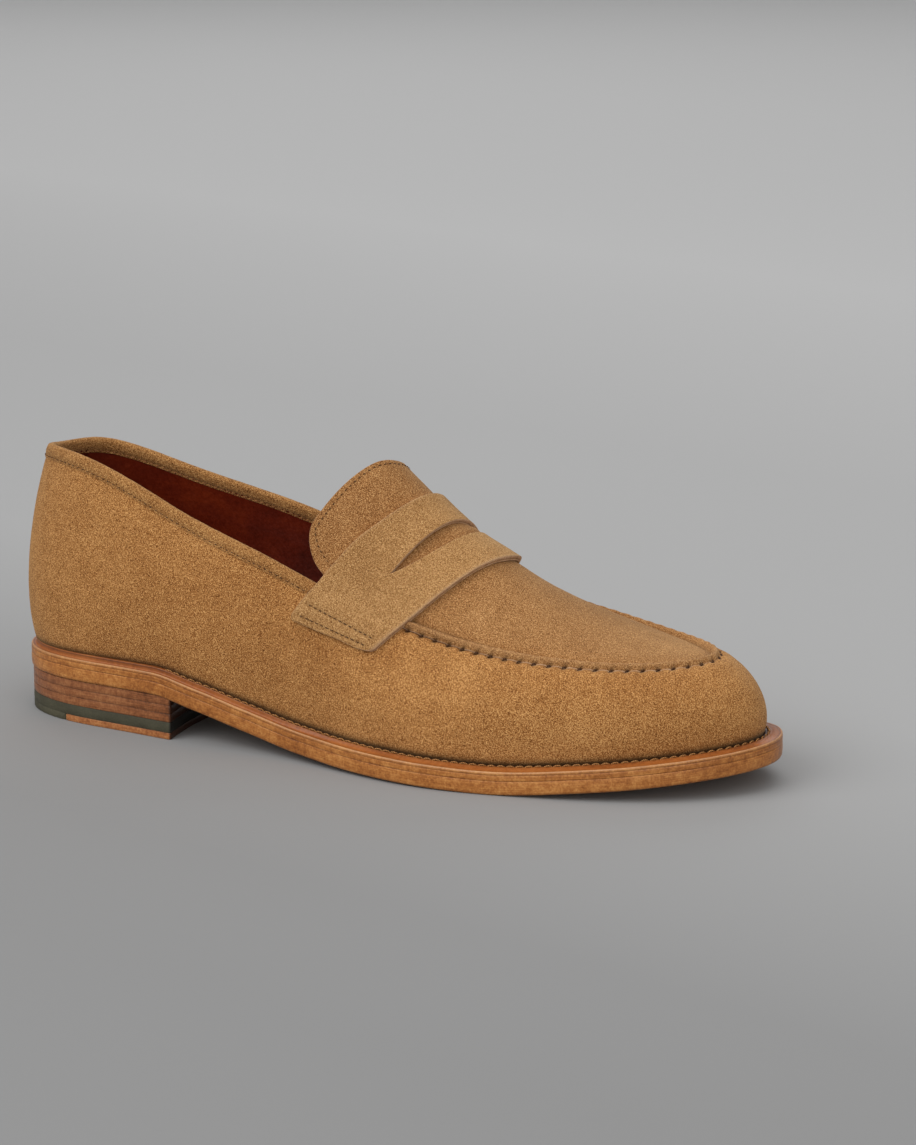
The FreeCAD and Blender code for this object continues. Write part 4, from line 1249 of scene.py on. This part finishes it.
def trim_sole(points, insets, rises, marks):
    """Stitch channel under the sole and the darker line round its lower edge."""
    roughen(points, 0.05)
    channel = bump_at(insets - 4.9, 0.3) * (points[:, 0] > HEEL_LENGTH)
    low_edge = bump_at(rises - 0.2, 0.5) * (insets < 1)
    marks["dark"] = np.maximum(0.55 * channel, 0.25 * low_edge)


def make_outsole():
    profile = [(8.0, 0.0), (5.3, 0.0), (4.9, 0.3), (4.5, 0.0), (1.5, 0.0), (0.75, 0.05),
               (0.3, 0.28), (0.08, 0.7), (0.0, 1.3), (-0.1, 2.6), (-0.1, OUTSOLE - 1.5),
               (-0.03, OUTSOLE - 0.5), (0.02, OUTSOLE - 0.2), (0.14, OUTSOLE - 0.04),
               (3.0, OUTSOLE - 0.04)]
    slab("sole_leather", 420, 34, profile, 5, [SOLE_EDGE, SOLE_UNDER], "outsole",
         trim_sole)


make_outsole()


def make_welt():
    """Strip between the sole and the upper, with a wheeled rim and rising towards the upper."""
    us = np.linspace(0, 1, 900, endpoint=False)
    width = LAST[2](us)
    top = OUTSOLE + WELT
    low = OUTSOLE + 0.02
    seam = width - WELT_SEAM_OUT - 0.3
    xs = LAST[0](us)
    climb = welt_rise(xs)
    forward = np.clip((xs - WELT_SEAM_START) / 6, 0, 1)
    nothing = np.zeros(len(us))
    # Rows of the rim: (inset, height, darkening, pale). The pale values paint a highlight on the
    # rounded top arris; the darkening gives lines in the rim's small grooves.
    rim = [(0.03, low, 0.1, 0), (0.0, low + 0.3, 0, 0), (-0.05, low + 1.2, 0, 0),
           (-0.04, top - 1.25, 0, 0), (0.08, top - 1.08, 0.5, 0), (-0.02, top - 0.9, 0.1, 0),
           (0.0, top - 0.5, 0, 0.08), (0.1, top - 0.2, 0, 0.26), (0.3, top, 0, 0.34),
           (0.52, top + 0.03, 0, 0.15), (0.8, top - 0.06, 0.1, 0), (1.05, top - 0.2, 0.45, 0),
           (1.3, top - 0.08, 0.15, 0), (1.7, top + 0.02, 0.05, 0)]
    rows, shades, painted_rim_highlights, rises = [], [], [], []

    def add(inset, height, dark=0.0, pale=0.0):
        x, y, _, _ = plan(us, inset + nothing)
        rows.append(xyz(x, y, bottom_height(x) + height + nothing))
        shades.append(nothing + dark)
        painted_rim_highlights.append(nothing + pale)
        rises.append(nothing + height)

    for inset, height, dark, pale in rim:
        add(inset, height, dark, pale)
    reach = np.maximum(seam - 0.8, 1.9)
    # Painted shade: the welt's top darkens towards the upper and is darkest in the crease under the
    # upper's foot.
    for share in (0.3, 0.6, 0.85):
        add(1.7 + (reach - 1.7) * share, top + climb * share ** 1.3,
            (0.9 - 0.55 * forward) * share ** 2)
    for offset, drop, dark in ((0.0, 0.0, 0.15), (0.35, 0.15, 0.45), (0.8, 0.3, 0.7),
                               (1.2, 0.25, 0.8), (1.6, 0.1, 0.9), (2.1, 0.1, 1.0),
                               (2.8, 0.3, 1.0), (4.0, 0.5, 1.0)):
        shade = dark * (0.3 + 0.7 * forward) if offset < 1.5 else dark
        add(reach + offset, top + climb - drop * forward, shade)
    add(reach + 7.0, top - 0.4)
    add(reach + 7.0, low)
    points = np.stack(rows, 1)
    roughness = lattice_noise(points, 9.0, 41) * 0.05 + lattice_noise(points, 2.2, 42) * 0.03
    points[..., 2] += roughness * (np.arange(points.shape[1]) > 5)[None, :]
    marks = edge_marks(points.reshape(-1, 3), np.stack(rises, 1).ravel())
    marks["dark"] = np.stack(shades, 1)
    marks["pale"] = np.stack(painted_rim_highlights, 1)
    faces = grid_quads(len(us), points.shape[1], wrap_rows=True, wrap_columns=True)
    picks = np.tile(np.arange(points.shape[1]) >= 9, len(us))
    new_mesh("welt_strip", points, faces, [SOLE_EDGE, WELT_TOP], ["welt"], marks,
             picks)


make_welt()


def breast(y):
    """x of the heel's hollow front face at y."""
    return HEEL_LENGTH - BREAST_HOLLOW + BREAST_RADIUS - np.sqrt(BREAST_RADIUS ** 2 - y ** 2)


def tip_back(y):
    """x of the curved joint between the heel's rubber and its leather tip at y."""
    return TIP_ARC_X - TIP_ARC_RADIUS + np.sqrt(np.clip(TIP_ARC_RADIUS ** 2 - y ** 2, 1, None))


def heel_outline(rear, front):
    """Plan of part of the heel, counter-clockwise, with its corners a little rounded."""
    chains = []
    for us in (np.linspace(BACK, BACK + 0.25, 2500), np.linspace(BACK + 1, BACK + 0.75, 2500)):
        x, y, _, _ = plan(us, HEEL_INSET + 0 * us)
        keep = x < front(y)
        if rear is not None:
            keep &= x > rear(y)
        chains.append(np.stack([x[keep], y[keep]], 1))
    outer, inner = chains
    ys = np.linspace(outer[-1, 1], inner[-1, 1], 200)[1:-1]
    loop = [outer, np.stack([front(ys), ys], 1), inner[::-1]]
    if rear is not None:
        ys = np.linspace(inner[0, 1], outer[0, 1], 200)[1:-1]
        loop.append(np.stack([rear(ys), ys], 1))
    loop = np.concatenate(loop)
    path = np.concatenate([loop, loop[:1]])
    count = int(arc_lengths(path)[-1] / 0.6)
    even = along(path, np.linspace(0, arc_lengths(path)[-1], count, endpoint=False))
    for _ in range(3):
        even = (np.roll(even, 1, 0) + 2 * even + np.roll(even, -1, 0)) / 4
    return even


def stacked(outline, profile):
    """Closed solid over an outline. profile holds (inset, z) from its bottom to its top. Returns
    the points and the faces."""
    ahead = np.roll(outline, -1, 0) - np.roll(outline, 1, 0)
    inward = unit(np.stack([-ahead[:, 1], ahead[:, 0]], 1))
    count = len(outline)
    centre = outline.mean(0)
    inner = unit(centre - outline)
    points = np.concatenate([
        np.concatenate([outline + (inner if inset > 0.5 else inward) * inset,
                        np.full((count, 1), z)], 1) for inset, z in profile])
    faces = grid_quads(len(profile), count, wrap_columns=True)[:, ::-1].tolist()
    hubs = [(*centre, profile[0][1]), (*centre, profile[-1][1])]
    hub = len(points)
    top = hub - count
    for k in range(count):
        after = (k + 1) % count
        faces += [[after, k, hub], [top + k, top + after, hub + 1]]
    return np.concatenate([points, hubs]), faces


def layer_profile(low, high, rounding, squeeze):
    middle = (low + high) / 2
    return [(1.4, low), (0.9, low), (rounding, low + 0.01), (rounding * 0.3, low + rounding * 0.3),
            (0, low + rounding), (-squeeze, middle), (0, high - rounding),
            (rounding * 0.3, high - rounding * 0.3), (rounding, high - 0.01), (0.9, high),
            (1.4, high)]


def heel_piece(name, parts, materials, node):
    """Piece of the heel from parts, each (outline, low, high, rounding, squeeze)."""
    all_points, all_faces, joints = [], [], []
    base = 0
    for outline, low, high, rounding, squeeze in parts:
        points, faces = stacked(outline, layer_profile(low, high, rounding, squeeze))
        all_points.append(points)
        all_faces += [[k + base for k in face] for face in faces]
        joints.append(np.minimum(points[:, 2] - low, high - points[:, 2]))
        base += len(points)
    points = np.concatenate(all_points)
    marks = edge_marks(points, points[:, 2].copy())
    marks["dark"] = 0.32 * bump_at(np.concatenate(joints), 0.2)
    # Painted shade on the heel's hollow front face, the breast, as dark as the shadow under the
    # arch.
    breast_shade = np.clip((points[:, 0] - breast(points[:, 1]) + 0.9) / 0.5, 0, 1)
    marks["dark"] = np.maximum(marks["dark"], 0.95 * breast_shade)
    roughen(points, 0.06)
    picks = [len(materials) - 1 if all(points[k, 2] < 0.05 for k in face) else 0
             for face in all_faces]
    new_mesh(name, points, all_faces, materials, [node], marks, picks)


def make_heel():
    whole = heel_outline(None, breast)
    lift = (HEEL_HEIGHT - RUBBER_TOP) / 3
    for number in range(3):
        base = RUBBER_TOP + number * lift
        heel_piece("heel_layer_%d" % (number + 1),
                   [(whole, base + 0.02, base + lift - 0.02, 0.14, 0.06)],
                   [STACK_EDGE], "heel_lift_%d" % (number + 1))
    rear = heel_outline(None, tip_back)
    heel_piece("heel_rubber_piece", [(whole, LEATHER_TIP + 0.02, RUBBER_TOP - 0.02, 0.16, 0.05),
                                     (rear, 0.0, LEATHER_TIP + 0.4, 0.3, 0.05)],
               [RUBBER], "heel_rubber")
    tip = heel_outline(lambda y: tip_back(y) + 0.12, breast)
    heel_piece("heel_leather_corner", [(tip, 0.0, LEATHER_TIP, 0.22, 0.04)],
               [TIP_EDGE, SOLE_UNDER], "heel_leather_tip")


make_heel()


def make_pins():
    """Heads of the brass pins, flush with the heel's underside."""
    points, faces = [], []
    first = np.arange(PIN_CORNERS)
    for k in range(PIN_COUNT):
        x, y, _, _ = plan(np.array(k / PIN_COUNT), PIN_INSET)
        if not TIP_ARC_X + 4 < x < HEEL_LENGTH - 4:
            continue
        base = len(points)
        for radius, z in PIN_PROFILE:
            for angle in first * 2 * math.pi / PIN_CORNERS:
                points.append((x + radius * math.cos(angle), y + radius * math.sin(angle), z))
        faces += (grid_quads(len(PIN_PROFILE), PIN_CORNERS, wrap_columns=True) + base).tolist()
        faces += [(first + base).tolist(), (first[::-1] + len(points) - PIN_CORNERS).tolist()]
    new_mesh("heel_pins", points, faces, [BRASS], ["top_piece_pins"])


make_pins()


def heel_pad(points, insets, rises, marks):
    """Second layer on the sock's heel, with a seam along its front."""
    points[:, 2] += 0.06 * lattice_noise(points, 9.0, 51)
    bow = 10 * (points[:, 1] / 30) ** 2
    pad = np.clip((92 - points[:, 0] - bow) / 1.0, 0, 1)
    points[:, 2] += 0.6 * pad * (rises > SOCK_BOTTOM + 0.5)
    marks["dark"] = 0.6 * bump_at(points[:, 0] - (92.5 - bow), 0.8)


def make_sock():
    """Full leather sock over the insole, with a stitched heel pad."""
    low, extra = SOCK_BOTTOM, WALL_THICKNESS + 0.5
    profile = [(extra + 7.0, low), (extra + 5.6, low), (extra + 4.6, low + 0.1),
               (extra + 4.4, low + SOCK * 0.5), (extra + 4.6, low + SOCK * 0.9),
               (extra + 5.4, low + SOCK), (extra + 7.0, low + SOCK)]
    slab("sock_leather", 300, 60, profile, -1, [SOCK_LEATHER], "sock_liner",
         heel_pad)


make_sock()


# ---------------------------------------------------------------- threads
def stitches_on(path, normals, pitch, share, start=0.0, slant=0.0):
    """Starts, ends and normals of stitches along a path, each covering a share of the pitch."""
    begin = np.arange(start, arc_lengths(path)[-1] - pitch * share, pitch)
    a, b = along(path, begin), along(path, begin + pitch * share)
    normal = unit(along(path, begin + pitch * share / 2, normals))
    side = unit(np.cross(normal, b - a)) * slant
    return a - side, b + side, normal


def make_welt_threads():
    us = np.linspace(0, 1, 1500)
    inset = np.maximum(LAST[2](us) - WELT_SEAM_OUT - 0.3 - 0.8, 1.9) + 0.85
    x, y, _, _ = plan(us, inset)
    path = xyz(x, y, bottom_height(x) + OUTSOLE + WELT + welt_rise(x) - 0.32)
    path = path[x > WELT_SEAM_START]
    normals = np.tile([0, 0, 1.0], (len(path), 1))
    stitches = stitches_on(path, normals, WELT_PITCH, 0.95, slant=0.36)
    threads("welt_threads", stitches, 0.29, WELT_THREAD, "welt_stitching", 0.35, 0.3)


def make_apron_threads():
    """Stitches that cross the apron's seam on a slant and draw it in. They sink into the slits and
    are coloured dark brown, which paints the shade of the slits.
    """
    normals = wall_normal(SEAM_PLACES, np.ones_like(SEAM_PLACES))
    tilt = unit(normals + np.array([0, 0, 0.8]))
    middle = unit(along(SEAM_PATH, SEAM_HOLES_AT, tilt))
    across = unit(np.cross(middle, SEAM_HOLE_RUNS))
    reach = SEAM_HOLE_RUNS * (0.95 * math.cos(SLIT_SLANT)) + across * (0.95 * math.sin(SLIT_SLANT))
    centre = SEAM_HOLES - middle * 0.62
    threads("apron_threads", (centre - reach, centre + reach, middle), 0.3, SEAM_THREAD_SHADED,
            "apron_stitching", 0.2, 0.5)


def make_fine_threads():
    for name, across, node, material in (
            ("topline_threads", 1.36, "topline_stitching", UPPER_THREAD),
            ("inside_threads", -1.36, "lining_stitching", LINING_THREAD)):
        points, side, _ = topline_path(across, -3.35)
        stitches = stitches_on(points, side * np.sign(across), TOPLINE_PITCH, 0.6,
                               0.5 + TOPLINE_PITCH * 0.2)
        threads(name, stitches, 0.17, material, node, 0.1, 0.35)
    rows = [stitches_on(points - normal * 0.3, normal, FINE_PITCH, 0.58, 0.4 + FINE_PITCH * 0.21)
            for points, normal in STRAP_SEAMS]
    threads("strap_threads", [np.concatenate(part) for part in zip(*rows)], 0.19, UPPER_THREAD,
            "strap_stitching", 0.3, 0.35)
    stitches = stitches_on(TONGUE_PATH, TONGUE_NORMALS, FINE_PITCH, 0.5, 1.0 + FINE_PITCH * 0.25)
    threads("tongue_threads", stitches, 0.18, UPPER_THREAD, "tongue_stitching",
            0.1, 0.35)


make_welt_threads()
make_apron_threads()
make_fine_threads()

# ---------------------------------------------------------------- CAD nodes kept as they are
KEPT = {"insole": SOLE_UNDER, "insole_rib": HIDDEN_BOARD, "cork_filler": HIDDEN_BOARD,
        "shank": BRASS, "heel_nails": BRASS, "heel_counter": HIDDEN_BOARD, "toe_puff": HIDDEN_BOARD,
        "outer_side_stiffener": HIDDEN_BOARD, "inner_side_stiffener": HIDDEN_BOARD,
        "topline_tape": HIDDEN_BOARD, "inseam_stitching": WELT_THREAD}
for node_name, material in KEPT.items():
    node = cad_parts[node_name]
    node.data.materials.clear()
    node.data.materials.append(material)


# ---------------------------------------------------------------- floor, light and camera
BEARING = math.radians(28.43)                       # camera's bearing round the shoe
DEPTH = np.array([-math.sin(BEARING), math.cos(BEARING), 0])     # away from the camera
ACROSS = np.array([math.cos(BEARING), math.sin(BEARING), 0])     # to the camera's right


# Grey levels of the sweep along its slope: painted light, darker in front of the shoe and lighter
# far behind and to the right.
SWEEP_PAINTED_LIGHT = [(0.1, 140), (0.14, 143), (0.26, 173), (0.4, 180), (0.6, 199), (0.9, 202)]
SWEEP_SLOPE = tuple(DEPTH * 0.30 + ACROSS * 0.30)
# Name, bearing and elevation in degrees, distance and (width, height) in m, power in W.
LIGHTS = [("key_softbox", -30, 42, 1.8, (1.6, 1.2), 17),
          ("front_fill", 44, 30, 2.0, (1.8, 1.4), 9.5),
          ("low_fill", 22, 9, 2.0, (2.4, 0.5), 4), ("top_softbox", 130, 78, 1.8, (2.0, 1.4), 8),
          ("rear_glow", -150, 35, 3.2, (2.35, 1.7), 19.5)]
AMBIENT = 0.38
CAMERA_ELEVATION = math.radians(14.01)
CAMERA_TARGET = Vector((152.0, 0.0, 35.0))
CAMERA_DISTANCE = 1501.2
CAMERA_SHIFT = (23.63, 27.17)                       # aim to the right of and above the target
CAMERA_LENS = 129.8


def stage_material():
    """Pale paper sweep with painted light: darker in front of the shoe, a little lighter towards
    its far right end.
    """
    material, tree, surface = shader("studio_sweep")
    node = tree.nodes.new("ShaderNodeVectorMath")
    node.operation = "DOT_PRODUCT"
    source = tree.nodes.new("ShaderNodeTexCoord")
    tree.links.new(source.outputs["Object"], node.inputs[0])
    node.inputs[1].default_value = SWEEP_SLOPE
    place = maths(tree, "ADD", node.outputs["Value"], 0.20)
    shade = ramp(tree, place, [(spot, (level,) * 3) for spot, level in SWEEP_PAINTED_LIGHT])
    tree.links.new(shade, surface.inputs["Base Color"])
    surface.inputs["Roughness"].default_value = 0.9
    surface.inputs["Specular IOR Level"].default_value = 0.1
    return material


def make_stage():
    """Pale floor that runs far behind the shoe and then curves up into a backdrop."""
    start, radius, top = 3200, 700, 3600
    section = [(-6000, 0), (-2500, 0), (0, 0), (start, 0)]
    section += [(start + radius * math.sin(a), radius * (1 - math.cos(a)))
                for a in np.linspace(0.08, math.pi / 2, 16)]
    section += [(start + radius, top)]
    points = [CENTRE + DEPTH * d + ACROSS * w + np.array([0, 0, z - 0.02])
              for w in (-5000, 5000) for d, z in section]
    faces = grid_quads(2, len(section))
    mesh = bpy.data.meshes.new("studio_sweep")
    mesh.from_pydata(((np.array(points) - CENTRE) / 1000).tolist(), [], faces[:, ::-1].tolist())
    mesh.polygons.foreach_set("use_smooth", [True] * len(faces))
    mesh.materials.append(stage_material())
    obj = bpy.data.objects.new("studio_sweep", mesh)
    bpy.context.scene.collection.objects.link(obj)


def bearing_vector(azimuth, elevation):
    """Direction from the shoe at a bearing round it and an elevation, in radians."""
    return Vector((math.sin(azimuth) * math.cos(elevation),
                   -math.cos(azimuth) * math.cos(elevation), math.sin(elevation)))


def area_light(name, azimuth, elevation, distance, size, energy):
    """Soft light at a bearing round the shoe; bearing 0 is straight in front of its outer side."""
    light = bpy.data.lights.new(name, "AREA")
    light.shape = "RECTANGLE"
    light.size, light.size_y = size
    light.energy = energy
    obj = bpy.data.objects.new(name, light)
    back = bearing_vector(math.radians(azimuth), math.radians(elevation))
    obj.location = back * distance + Vector((0, 0, 0.05))
    obj.rotation_mode = "QUATERNION"
    obj.rotation_quaternion = (-back).to_track_quat("-Z", "Y")
    bpy.context.scene.collection.objects.link(obj)


def make_camera():
    back = bearing_vector(BEARING, CAMERA_ELEVATION)
    right = Vector((math.cos(BEARING), math.sin(BEARING), 0))
    place = CAMERA_TARGET + back * CAMERA_DISTANCE
    aim = CAMERA_TARGET + right * CAMERA_SHIFT[0] + back.cross(right) * CAMERA_SHIFT[1]
    view = (place - aim).normalized()
    side = Vector((0, 0, 1)).cross(view).normalized()
    camera = bpy.data.objects.new("camera", bpy.data.cameras.new("camera"))
    camera.location = (place - Vector(CENTRE.tolist())) / 1000
    camera.rotation_mode = "QUATERNION"
    camera.rotation_quaternion = Matrix((side, view.cross(side), view)).transposed().to_quaternion()
    camera.data.lens = CAMERA_LENS
    camera.data.sensor_width = 36.0
    camera.data.clip_start, camera.data.clip_end = 0.05, 20
    bpy.context.scene.collection.objects.link(camera)
    bpy.context.scene.camera = camera


make_stage()
for values in LIGHTS:
    area_light(*values)
world = bpy.data.worlds.new("studio")
world.use_nodes = True
world.node_tree.nodes["Background"].inputs[0].default_value = (1, 1, 1, 1)
world.node_tree.nodes["Background"].inputs[1].default_value = AMBIENT
bpy.context.scene.world = world
bpy.context.scene.view_settings.view_transform = "Standard"
make_camera()
